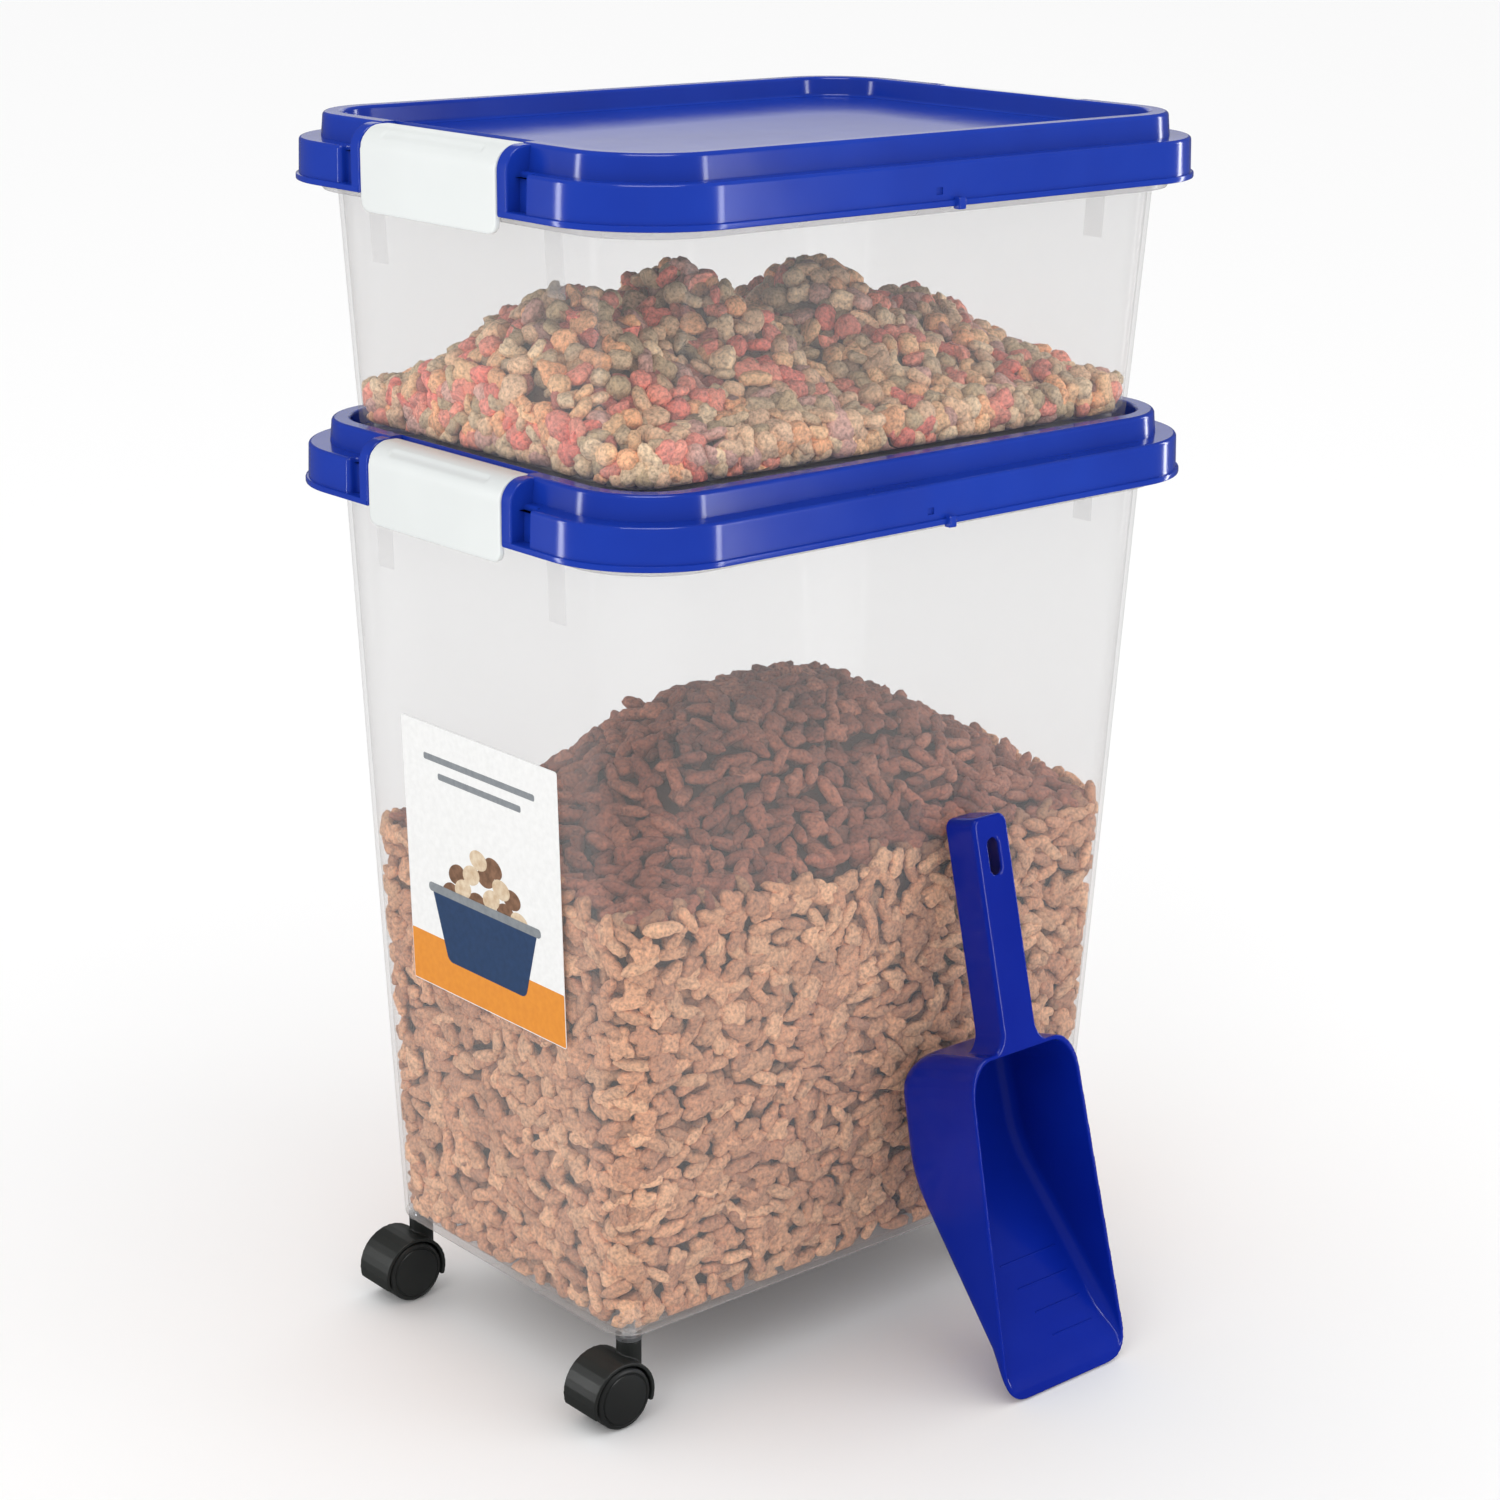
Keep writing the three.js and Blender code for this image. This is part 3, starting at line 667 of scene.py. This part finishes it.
SCOOP_LEAN = math.radians(14)
SCOOP_WALL = 2.2
BOWL_LENGTH, BOWL_DEPTH = 184.0, 60.0
HANDLE_HALF, HANDLE_DEPTH, HANDLE_TOP = 12.5, 22.0, 309.0
SHOULDER = 20.0
TIP = 18
BOWL_LINE = [(0, SCOOP_WALL, 0), (9, SCOOP_WALL, 30), (118, BOWL_DEPTH, 60), (BOWL_LENGTH, BOWL_DEPTH, 0)]
BOWL_SIDE = rounded(BOWL_LINE, closed=False, degrees=3)


def bowl_size(z):
    """Half width and depth of the scoop's bowl at a distance from its tip."""
    if z < TIP:
        t = math.sqrt(z / TIP)
        half = 30 * (1 - t) ** 2 + 92 * t * (1 - t) + 45.6 * t ** 2
    else:
        half = 45.6 - 5.6 * (z - TIP) / (BOWL_LENGTH - 32)
    depth = float(np.interp(z, [p.x for p in BOWL_SIDE], [p.y for p in BOWL_SIDE]))
    t = max(0, (z - BOWL_LENGTH + SHOULDER) / SHOULDER)
    drop = 1 - math.sqrt(max(0, 1 - t * t))
    return half - 14 * drop, depth - 17 * drop


def bowl_ring(z, size, front, radius):
    half, depth = size
    corners = [(half, front, 0), (half, depth, radius), (-half, depth, radius), (-half, front, 0)]
    flat = rounded(corners, degrees=9)
    return [(p.x, p.y, z) for p in flat]


def bowl_solid(name, wall, front):
    top = BOWL_LENGTH - wall
    heights = [0, 0.4, 1.2, 2.4, 4, 6, 8.5, 11.5, 14.5, TIP] if wall == 0 else [6, 8, 10, 12, 14.5, TIP]
    heights += [TIP + (top - SHOULDER - TIP) * i / 24 for i in range(1, 25)]
    heights += [top - SHOULDER * (1 - math.sin(math.radians(a))) for a in (15, 30, 45, 60, 70, 78, 84, 90)]
    rings = []
    for z in heights:
        half, depth = bowl_size(z + wall if z > top - SHOULDER else z)
        half, depth = half - wall, depth - wall * 1.1
        rings.append(bowl_ring(z, (half, depth), front, min(10 - wall, depth * 0.8)))
    return tidied(loft(name, rings))


def leaned(piece):
    """From the scoop's own place to where it leans on the bin."""
    low, high = box_mm("scoop")
    foot = Vector(((low.x + high.x) / 2, low.y, SCOOP_WALL * math.sin(SCOOP_LEAN)))
    matrix = Matrix.Translation(foot * MM)
    piece.data.transform(matrix @ Matrix.Rotation(-SCOOP_LEAN, 4, "X"))
    return piece


def handle():
    foot = BOWL_LENGTH - 1.5
    side = [(26, foot - 6, 0), (26, foot, 0.6), (HANDLE_HALF, foot, 12.6), (HANDLE_HALF, HANDLE_TOP, 5.5)]
    outline = rounded(side + [(-a, b, radius) for a, b, radius in reversed(side)], degrees=8)
    grip = sweep("grip", outline, pillow(HANDLE_DEPTH, 1.6, -HANDLE_DEPTH), axis="y")
    return tidied(grip)


def scoop():
    body = combine(bowl_solid("bowl", 0, 0), handle(), "UNION")
    combine(body, bowl_solid("bowl_hollow", SCOOP_WALL, -4), "DIFFERENCE")
    room = HANDLE_HALF - SCOOP_WALL
    middle = (BOWL_LENGTH + HANDLE_TOP) / 2
    hollow = sweep("hollow", rounded_rect(room, (HANDLE_TOP - BOWL_LENGTH) / 2 - SCOOP_WALL, 3.5),
                   [(0, -HANDLE_DEPTH - 3), (0, -SCOOP_WALL)], axis="y")
    hollow.data.transform(Matrix.Translation((0, 0, middle * MM)))
    combine(body, tidied(hollow), "DIFFERENCE")
    hole = sweep("hole", rounded_rect(4, 10, 3.98), [(0, -SCOOP_WALL - 2), (0, 2)], axis="y")
    hole.data.transform(Matrix.Translation((0, 0, (HANDLE_TOP - 22) * MM)))
    combine(body, tidied(hole), "DIFFERENCE")
    made = remeshed("scoop_body_shell", leaned(body), 0.65, 6)
    put(made, "scoop_body", scoop_blue, "blue_plastic", "scoop")


def volume_lines():
    """Thin raised lines across the floor of the bowl."""
    parts = []
    for z, wide in ((24, 30), (37, 34), (50, 38), (63, 42)):
        deep = bowl_size(z)[1] - SCOOP_WALL * 1.1
        rings = [[(x, deep + y, z + up) for y, up in ((0.3, -0.5), (-0.3, -0.4), (-0.3, 0.4), (0.3, 0.5))]
                 for x in (30 - wide, 30)]
        parts.append(tidied(loft("line", rings)))
    made = leaned(joined("scoop_volume_lines", parts))
    smoothed(made, 20, weighted=False)
    put(made, "scoop_body", scoop_blue, "blue_plastic")


scoop()
volume_lines()


# ---------------------------------------------------------------- label

label_low, label_high = box_mm("label")
LABEL_WIDE = label_high.y - label_low.y
LABEL_TALL = label_high.z - label_low.z
LABEL_MIDDLE = (label_low + label_high) / 2
LABEL_LEAN = math.atan((MOUTH[0] - BINS["lower"]["foot"][0]) / (LID_BASE["lower"] - BINS["lower"]["base"]))
ACROSS = Vector((0, -1, 0))
UP = Vector((-math.sin(LABEL_LEAN), 0, math.cos(LABEL_LEAN)))
OUT = ACROSS.cross(UP)


def printed(name, outlines, material, low, high):
    """Thin flat shapes on the label, each a run of (across, up) points that lies a hair above the last."""
    parts = []
    for i, outline in enumerate(outlines):
        top = high + i * 0.004
        parts.append(loft(name, [
            [LABEL_MIDDLE + ACROSS * p[0] + UP * p[1] + OUT * out for p in outline] for out in (low, top)
        ]))
    made = joined(name, parts)
    smoothed(made, 30, weighted=False)
    return put(made, "lower_bin_body", material, "label_card")


def oval(across, up, wide, tall, lean=0.0, points=28):
    made = []
    for i in range(points):
        angle = math.tau * i / points
        a, b = wide * math.cos(angle), tall * math.sin(angle)
        turned = (a * math.cos(lean) - b * math.sin(lean), a * math.sin(lean) + b * math.cos(lean))
        made.append((across + turned[0], up + turned[1]))
    return made


def bar(across, up, wide, tall, radius):
    return [(p.x + across, p.y + up) for p in rounded_rect(wide / 2, tall / 2, radius, degrees=15)]


card_white = card("card_white", (0.86, 0.86, 0.85), (0.92, 0.92, 0.91))
ink_orange = card("ink_orange", (0.80, 0.27, 0.015), (0.86, 0.31, 0.02))
ink_navy = card("ink_navy", (0.010, 0.045, 0.13), (0.014, 0.055, 0.16))
ink_grey = card("ink_grey", (0.22, 0.24, 0.26), (0.28, 0.30, 0.32))
ink_black = card("ink_black", (0.012, 0.012, 0.014), (0.03, 0.03, 0.034))
ink_brown = card("ink_brown", (0.16, 0.075, 0.035), (0.30, 0.15, 0.08))
ink_cream = card("ink_cream", (0.62, 0.44, 0.27), (0.80, 0.66, 0.48))

half_tall = LABEL_TALL / 2
face_card = printed("label_card_face", [bar(0, 0, LABEL_WIDE, LABEL_TALL, 1.5)], card_white, -0.2, 0.2)
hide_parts("label")
printed("label_print_band", [bar(0, -half_tall + 15, LABEL_WIDE - 0.6, 29, 0.8)], ink_orange, 0.1, 0.23)
printed("label_print_lines", [bar(0, 56, 96, 3.6, 1.2), bar(0, 47, 72, 3.6, 1.2)], ink_grey, 0.1, 0.23)
BISCUITS = [
    (-30, -2), (-18, 3), (-6, -1), (7, 4), (19, 0), (31, -2), (-23, 10), (-10, 13), (3, 15), (16, 12),
    (25, 9), (-3, 23), (10, 22),
]
biscuits = [oval(a, b - 14, 7.6, 5.4, 0.5 * math.sin(a)) for a, b in BISCUITS]
printed("label_print_biscuits", biscuits[::2], ink_brown, 0.1, 0.24)
printed("label_print_pale_biscuits", biscuits[1::2], ink_cream, 0.1, 0.29)
dish = [(-46, -17, 1.0), (-34, -56, 5.0), (34, -56, 5.0), (46, -17, 1.0)]
printed("label_print_dish", [[(p.x, p.y) for p in rounded(dish, degrees=12)]], ink_navy, 0.1, 0.36)
printed("label_print_dish_rim", [bar(0, -17, 98, 5.0, 2.4)], ink_grey, 0.1, 0.40)


# ---------------------------------------------------------------- dry food

AROUND = 20
LAYERS = (-56, -20, 20, 56)


def dent(angle, at, wide):
    away = (angle - at + math.pi) % math.tau - math.pi
    return math.exp(-(away / wide) ** 2)


def food_shape(kind, seed):
    """The points of one piece of food about its middle, X along it and Z through its thickness."""
    draw = random.Random(seed)
    phase = [draw.uniform(0, math.tau) for _ in range(4)]
    long, wide, thick, waist, tips = FOOD_SIZES[kind]
    made = [Vector((0, 0, -thick * 0.96))]
    for layer in LAYERS:
        lean = math.radians(layer)
        for i in range(AROUND):
            angle = math.tau * i / AROUND
            swell = 1 - waist * (dent(angle, math.pi / 2, 0.42) + dent(angle, -math.pi / 2, 0.42))
            swell -= tips * (dent(angle, 0, 0.36) + dent(angle, math.pi, 0.36))
            swell += 0.05 * math.sin(3 * angle + phase[0]) + 0.035 * math.sin(5 * angle + phase[1])
            swell += 0.20 * math.cos(3 * angle) if kind == "trefoil" else 0
            swell *= math.cos(lean) ** 0.6
            bend = 0.055 * (long * math.cos(angle)) ** 2 - 2 if kind == "curl" else 0
            p = Vector((long * math.cos(angle), wide * math.sin(angle), 0)) * swell
            crumb = draw.uniform(-0.34, 0.34)
            made.append(p + Vector((crumb, bend - crumb, thick * math.sin(lean) + crumb)))
    made.append(Vector((0, 0, thick * 0.96)))
    return np.array(made)


def food_faces():
    last = len(LAYERS) * AROUND + 1
    faces = []
    for i in range(AROUND):
        following = (i + 1) % AROUND
        faces.append((0, 1 + following, 1 + i))
        top = last - AROUND
        faces.append((last, top + i, top + following))
        for band in range(len(LAYERS) - 1):
            low, high = 1 + band * AROUND, 1 + (band + 1) * AROUND
            faces.append((low + i, low + following, high + following))
            faces.append((low + i, high + following, high + i))
    return np.array(faces)


FOOD_SIZES = {
    "cross": (9.8, 8.0, 3.2, 0.38, 0.30),
    "stick": (10.4, 3.9, 3.4, 0.10, 0.0),
    "ball": (6.5, 6.3, 5.2, 0.0, 0.0),
    "disc": (7.2, 6.9, 3.0, 0.0, 0.0),
    "bone": (9.6, 7.0, 3.6, 0.40, 0.20),
    "trefoil": (7.6, 7.6, 3.6, 0.0, 0.0),
    "curl": (9.0, 3.9, 3.5, 0.0, 0.0),
}
FOOD_GAP = 0.4
FOOD_FACES = food_faces()
FOOD_POINTS = len(LAYERS) * AROUND + 2


def inner_outline(level, z, inset):
    """The line along the inside of the wall at a height, in short steps."""
    size = wall_size(level, z, WALL + inset)
    corners = rounded_rect(size[0], size[1], max(4.0, size[2]), degrees=15)
    made = []
    for i, here in enumerate(corners):
        ahead = corners[(i + 1) % len(corners)] - here
        steps = math.ceil(ahead.length / 10)
        made += [here + ahead * (step / steps) + Vector((0, CENTRE_Y)) for step in range(steps)]
    return made


def within(size, a, b):
    """Whether a point lies in a rectangle with rounded corners."""
    half_a, half_b, radius = size
    over = Vector((max(0, abs(a) - half_a + radius), max(0, abs(b) - half_b + radius)))
    return over.length <= radius


def pressed(points, level):
    """Moves the food's points that lie past the wall or the floor back to its inner face."""
    floor = BINS[level]["floor"]
    x, y, z = points[:, 0], points[:, 1] - CENTRE_Y, np.maximum(points[:, 2], floor + FOOD_GAP)
    turn = np.clip((floor + FLOOR_ROUND - z) / FLOOR_ROUND, 0, 1)
    size = wall_size(level, z, WALL + FOOD_GAP + FLOOR_ROUND * (1 - np.sqrt(1 - turn ** 2)))
    over = [np.abs(a) - half + size[2] for a, half in zip((x, y), size)]
    length = np.hypot(np.maximum(over[0], 0), np.maximum(over[1], 0))
    keep = np.minimum(1, size[2] / np.maximum(length, 0.001))
    flat = [np.sign(a) * np.where(past > 0, half - size[2] + past * keep, np.abs(a))
            for a, half, past in zip((x, y), size, over)]
    return np.stack((flat[0], flat[1] + CENTRE_Y, z), axis=1)


class Scatter:
    """Places pieces of food, then makes them all into one mesh."""

    def __init__(self, kinds, colours, tumble, seed):
        self.draw = random.Random(seed)
        self.shapes = [food_shape(kind, i) for i in range(8) for kind in kinds]
        self.colours = colours
        self.tumble = tumble
        self.points, self.tints = [], []

    def add(self, where, normal, along, painted_depth_shade=1.0):
        draw = self.draw
        tilt = Vector([draw.gauss(0, self.tumble) for _ in range(3)])
        z = (normal + tilt).normalized()
        x = (along - z * along.dot(z)).normalized()
        y = z.cross(x)
        turn = np.array([x, y, z])
        size = draw.uniform(0.86, 1.10)
        shape = draw.choice(self.shapes)
        self.points.append((shape * size) @ turn + np.array(where))
        colour = draw.choice(self.colours)
        # A random change of tone, times a darkening of the pieces that lie deeper in the food: painted shade.
        light = draw.uniform(0.84, 1.12) * painted_depth_shade
        self.tints.append([c * light for c in colour] + [1.0])

    def walls(self, level, heap, low, high, row, step, inset, lean, painted_depth_shade=1.0):
        """Rows of pieces that lie against the inside of the wall, up to the heap's surface. The last argument
        darkens the colours of a row that lies deeper, as painted shade.
        """
        draw = self.draw
        z = low
        while z < high:
            outline = inner_outline(level, z, inset)
            room = draw.uniform(0, step)
            for i, here in enumerate(outline):
                ahead = outline[(i + 1) % len(outline)] - here
                length = ahead.length
                along = ahead.normalized()
                inward = Vector((-along.y, along.x, 0))
                while room < length:
                    spot = here + along * room
                    height = z + draw.uniform(-0.4, 0.4) * row
                    angle = draw.gauss(0, lean)
                    aim = Vector((along.x * math.cos(angle), along.y * math.cos(angle), math.sin(angle)))
                    depth = draw.uniform(0, 2.6)
                    if height < heap(spot.x, spot.y - CENTRE_Y):
                        self.add(Vector((spot.x, spot.y, height)) + inward * depth, -inward, aim, painted_depth_shade)
                    room += step * draw.uniform(0.72, 1.28)
                room -= length
            z += row

    def heap(self, level, height, step, sink, inset, painted_depth_shade=1.0):
        """Pieces that lie on the heap's surface, inside the wall. The last argument darkens the colours of a
        layer that lies deeper, as painted shade.
        """
        draw = self.draw
        half_x, half_y, _ = wall_size(level, height(0, 0), WALL + inset)
        y = -half_y
        while y < half_y:
            x = -half_x + draw.uniform(0, step)
            while x < half_x:
                a, b = x + draw.uniform(-2, 2), y + draw.uniform(-2, 2)
                rise = (height(a - 3, b) - height(a + 3, b), height(a, b - 3) - height(a, b + 3))
                slope = Vector((*rise, 6)).normalized()
                angle = draw.uniform(0, math.tau)
                spot = Vector((a, b + CENTRE_Y, height(a, b) - sink + draw.uniform(-2.2, 1.6)))
                if within(wall_size(level, spot.z - 4, WALL + inset), a, b):
                    self.add(spot, slope, Vector((math.cos(angle), math.sin(angle), 0)), painted_depth_shade)
                x += step * draw.uniform(0.85, 1.2)
            y += step * 0.74

    def piece(self, name, level, material):
        count = len(self.points)
        points = pressed(np.concatenate(self.points), level) * MM
        faces = np.concatenate([FOOD_FACES + i * FOOD_POINTS for i in range(count)])
        mesh = bpy.data.meshes.new(name)
        mesh.from_pydata(points.tolist(), [], faces.tolist())
        tint = mesh.attributes.new("tint", "FLOAT_COLOR", "POINT")
        tints = np.repeat(np.array(self.tints, np.float32), FOOD_POINTS, axis=0)
        tint.data.foreach_set("color", tints.ravel())
        mesh.shade_smooth()
        made = bpy.data.objects.new(name, mesh)
        bpy.context.scene.collection.objects.link(made)
        made.data.materials.append(material)
        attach(made, f"{level}_bin_body")


def core(name, level, height, inset, sink, material):
    """The middle of the heap, so that no light passes through between the pieces. Its colour is far darker than
    the food, as painted shade in the gaps between the pieces.
    """
    floor = BINS[level]["floor"]
    edge = height(*(a - 2 for a in wall_size(level, height(0, 0), 0)[:2])) - sink
    heights = (floor + 3, (floor + edge) / 2, edge)
    rings = [[(p.x, p.y, z) for p in inner_outline(level, z, inset)] for z in heights]
    outline = inner_outline(level, edge, inset)
    for share in (1 - i / 24 for i in range(1, 24)):
        ring = [(p.x * share, (p.y - CENTRE_Y) * share) for p in outline]
        rings.append([(a, b + CENTRE_Y, height(a, b) - sink) for a, b in ring])
    made = loft(name, rings)
    smoothed(made, 60, weighted=False)
    made.data.materials.append(material)
    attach(made, f"{level}_bin_body")


def tall_heap(x, y):
    """The food's surface in the tall bin: a broad mound."""
    wave = 2.5 * math.sin(x / 23) * math.cos(y / 19)
    mound = math.exp(-abs((x - 10) / 130) ** 3 - abs(y / 76) ** 3)
    return 277 + 67 * mound + wave


SHALLOW_MOUNDS = ((-118, 61, 58), (-48, 67, 52), (42, 61, 54), (110, 39, 50))


def shallow_heap(x, y):
    """The food's surface in the shallow bin: mounds that run into each other."""
    highest = max(high * math.exp(-((x - at) / wide) ** 2) for at, high, wide in SHALLOW_MOUNDS)
    return 512 + highest * math.exp(-(y / 66) ** 2) + 2 * math.sin(x / 17) * math.cos(y / 15)


PALE = [(0.70, 0.35, 0.19), (0.63, 0.30, 0.16), (0.76, 0.41, 0.23), (0.57, 0.26, 0.14)]
DARK = [(0.36, 0.115, 0.066), (0.42, 0.14, 0.08), (0.30, 0.092, 0.054), (0.47, 0.17, 0.10)]
# These are the food's own colours, raised to make up for the shade that the lid casts on the food: partly
# painted light.
MIXED = [
    (0.92, 0.24, 0.18), (0.98, 0.34, 0.24), (1.00, 0.50, 0.25), (1.00, 0.60, 0.32), (0.90, 0.58, 0.35),
    (0.96, 0.70, 0.44), (0.62, 0.45, 0.26), (0.72, 0.52, 0.32), (0.76, 0.42, 0.34), (0.88, 0.28, 0.21),
    (0.86, 0.55, 0.34),
]
food_brown = kibble_look("baked_food_brown")
food_mixed = kibble_look("baked_food_mixed", 0.7)
# The two core colours are far darker than the food: painted shade for the gaps between the pieces.
food_core_painted_shade = moulded("food_core_painted_shade", (0.05, 0.02, 0.012), (0.09, 0.04, 0.025), (0.8, 0.9), 200, 0.5)
mixed_core_painted_shade = moulded("mixed_food_core", (0.16, 0.07, 0.04), (0.22, 0.11, 0.07), (0.8, 0.9), 200, 0.5)

pale_food = Scatter(["stick", "cross", "cross", "stick"], PALE, 0.28, 11)
pale_food.walls("lower", tall_heap, 54, 290, 7.8, 15.5, 3.6, 0.6)
# This row lies deeper in from the wall, and its colours are darkened as painted shade.
pale_food.walls("lower", tall_heap, 56, 286, 10.5, 20.0, 8.2, 0.7, 0.62)
pale_food.piece("tall_bin_food", "lower", food_brown)
dark_food = Scatter(["stick", "cross", "stick", "cross"], DARK, 0.5, 12)
dark_food.heap("lower", tall_heap, 13.0, 0.0, 9)
# This layer sinks into the heap, and its colours are darkened as painted shade.
dark_food.heap("lower", tall_heap, 16.0, 5.0, 11, 0.6)
dark_food.piece("tall_bin_food_heap", "lower", food_brown)
core("tall_bin_food_core", "lower", tall_heap, 11, 8, food_core_painted_shade)

mixed_food = Scatter(["disc", "bone", "ball", "trefoil", "ball", "curl", "disc"], MIXED, 0.6, 13)
mixed_food.walls("upper", shallow_heap, 501, 545, 5.6, 11.5, 4.6, 0.9)
mixed_food.heap("upper", shallow_heap, 12.2, 0.0, 8)
# This layer sinks into the heap, and its colours are darkened as painted shade.
mixed_food.heap("upper", shallow_heap, 13.0, 5.5, 9, 0.6)
mixed_food.piece("shallow_bin_food", "upper", food_mixed)
core("shallow_bin_food_core", "upper", shallow_heap, 11, 11, mixed_core_painted_shade)


# ---------------------------------------------------------------- floor, light and camera

def plane(name, half, z):
    mesh = bpy.data.meshes.new(name)
    corners = [(-half, -half, z), (half, -half, z), (half, half, z), (-half, half, z)]
    mesh.from_pydata(corners, [], [(0, 1, 2, 3)])
    made = bpy.data.objects.new(name, mesh)
    bpy.context.scene.collection.objects.link(made)
    return made


floor = plane("studio_floor", 12.0, -0.0005)
floor_look = Look("studio_floor_white")
floor_look.set(Base_Color=(0.95, 0.95, 0.95, 1), Roughness=0.9)
floor.data.materials.append(floor_look.material)
floor.visible_glossy = False


def area_light(name, where, towards, size, power, gloss):
    """A softbox. With gloss it is a card that only shows in shiny surfaces, without it it only lights."""
    data = bpy.data.lights.new(name, "AREA")
    data.shape = "RECTANGLE"
    data.size, data.size_y = size
    data.energy = power
    made = bpy.data.objects.new(name, data)
    bpy.context.scene.collection.objects.link(made)
    made.location = where
    made.rotation_euler = (Vector(towards) - Vector(where)).to_track_quat("-Z", "Y").to_euler()
    made.visible_glossy = gloss
    made.visible_diffuse = not gloss
    made.visible_camera = False
    return made


MIDDLE = (0.0, CENTRE_Y * MM, 0.33)
HIGH = (0.0, CENTRE_Y * MM, 0.60)
area_light("key_softbox", (-2.2, -1.2, 1.9), MIDDLE, (1.0, 1.4), 6, False)
area_light("right_softbox", (1.9, -2.0, 1.3), MIDDLE, (0.9, 1.6), 5, False)
area_light("top_card", (-0.5, -0.6, 2.4), HIGH, (1.4, 1.0), 24, True)
area_light("back_card", (1.35, 1.75, 1.30), HIGH, (1.5, 0.9), 3.4, True)
area_light("right_strip", (0.62, -1.20, 0.50), MIDDLE, (0.14, 1.0), 5, True)
area_light("left_strip", (-1.15, 0.80, 0.50), MIDDLE, (0.14, 1.0), 5, True)
area_light("far_strip", (1.45, -0.35, 0.50), MIDDLE, (0.14, 1.0), 5, True)

world = bpy.data.worlds.new("studio_white")
world.use_nodes = True
sky = world.node_tree
white_sky = sky.nodes["Background"]
white_sky.inputs["Color"].default_value = (1, 1, 1, 1)
white_sky.inputs["Strength"].default_value = 1.08
dim_sky = sky.nodes.new("ShaderNodeBackground")
dim_sky.inputs["Color"].default_value = (1, 1, 1, 1)
dim_sky.inputs["Strength"].default_value = 0.14
rays = sky.nodes.new("ShaderNodeLightPath")
in_gloss = sky.nodes.new("ShaderNodeMixShader")
sky.links.new(rays.outputs["Is Glossy Ray"], in_gloss.inputs["Fac"])
sky.links.new(white_sky.outputs["Background"], in_gloss.inputs[1])
sky.links.new(dim_sky.outputs["Background"], in_gloss.inputs[2])
sky.links.new(in_gloss.outputs["Shader"], sky.nodes["World Output"].inputs["Surface"])
bpy.context.scene.world = world
bpy.context.scene.view_settings.view_transform = "Standard"

TARGET = Vector((0.0036, 0.031, 0.3096))
DISTANCE = 1.705
AZIMUTH, ELEVATION, ROLL = (math.radians(a) for a in (-40.859, 17.040, 0.595))
camera_data = bpy.data.cameras.new("camera")
camera_data.sensor_width = 36.0
camera_data.lens = 74.41
camera = bpy.data.objects.new("camera", camera_data)
bpy.context.scene.collection.objects.link(camera)
back = Vector((
    math.sin(AZIMUTH) * math.cos(ELEVATION), -math.cos(AZIMUTH) * math.cos(ELEVATION), math.sin(ELEVATION),
))
level_right = Vector((math.cos(AZIMUTH), math.sin(AZIMUTH), 0))
level_up = back.cross(level_right)
right = level_right * math.cos(ROLL) + level_up * math.sin(ROLL)
up = level_up * math.cos(ROLL) - level_right * math.sin(ROLL)
turn = Matrix((right, up, back)).transposed().to_4x4()
camera.matrix_world = Matrix.Translation(TARGET + back * DISTANCE) @ turn
bpy.context.scene.camera = camera
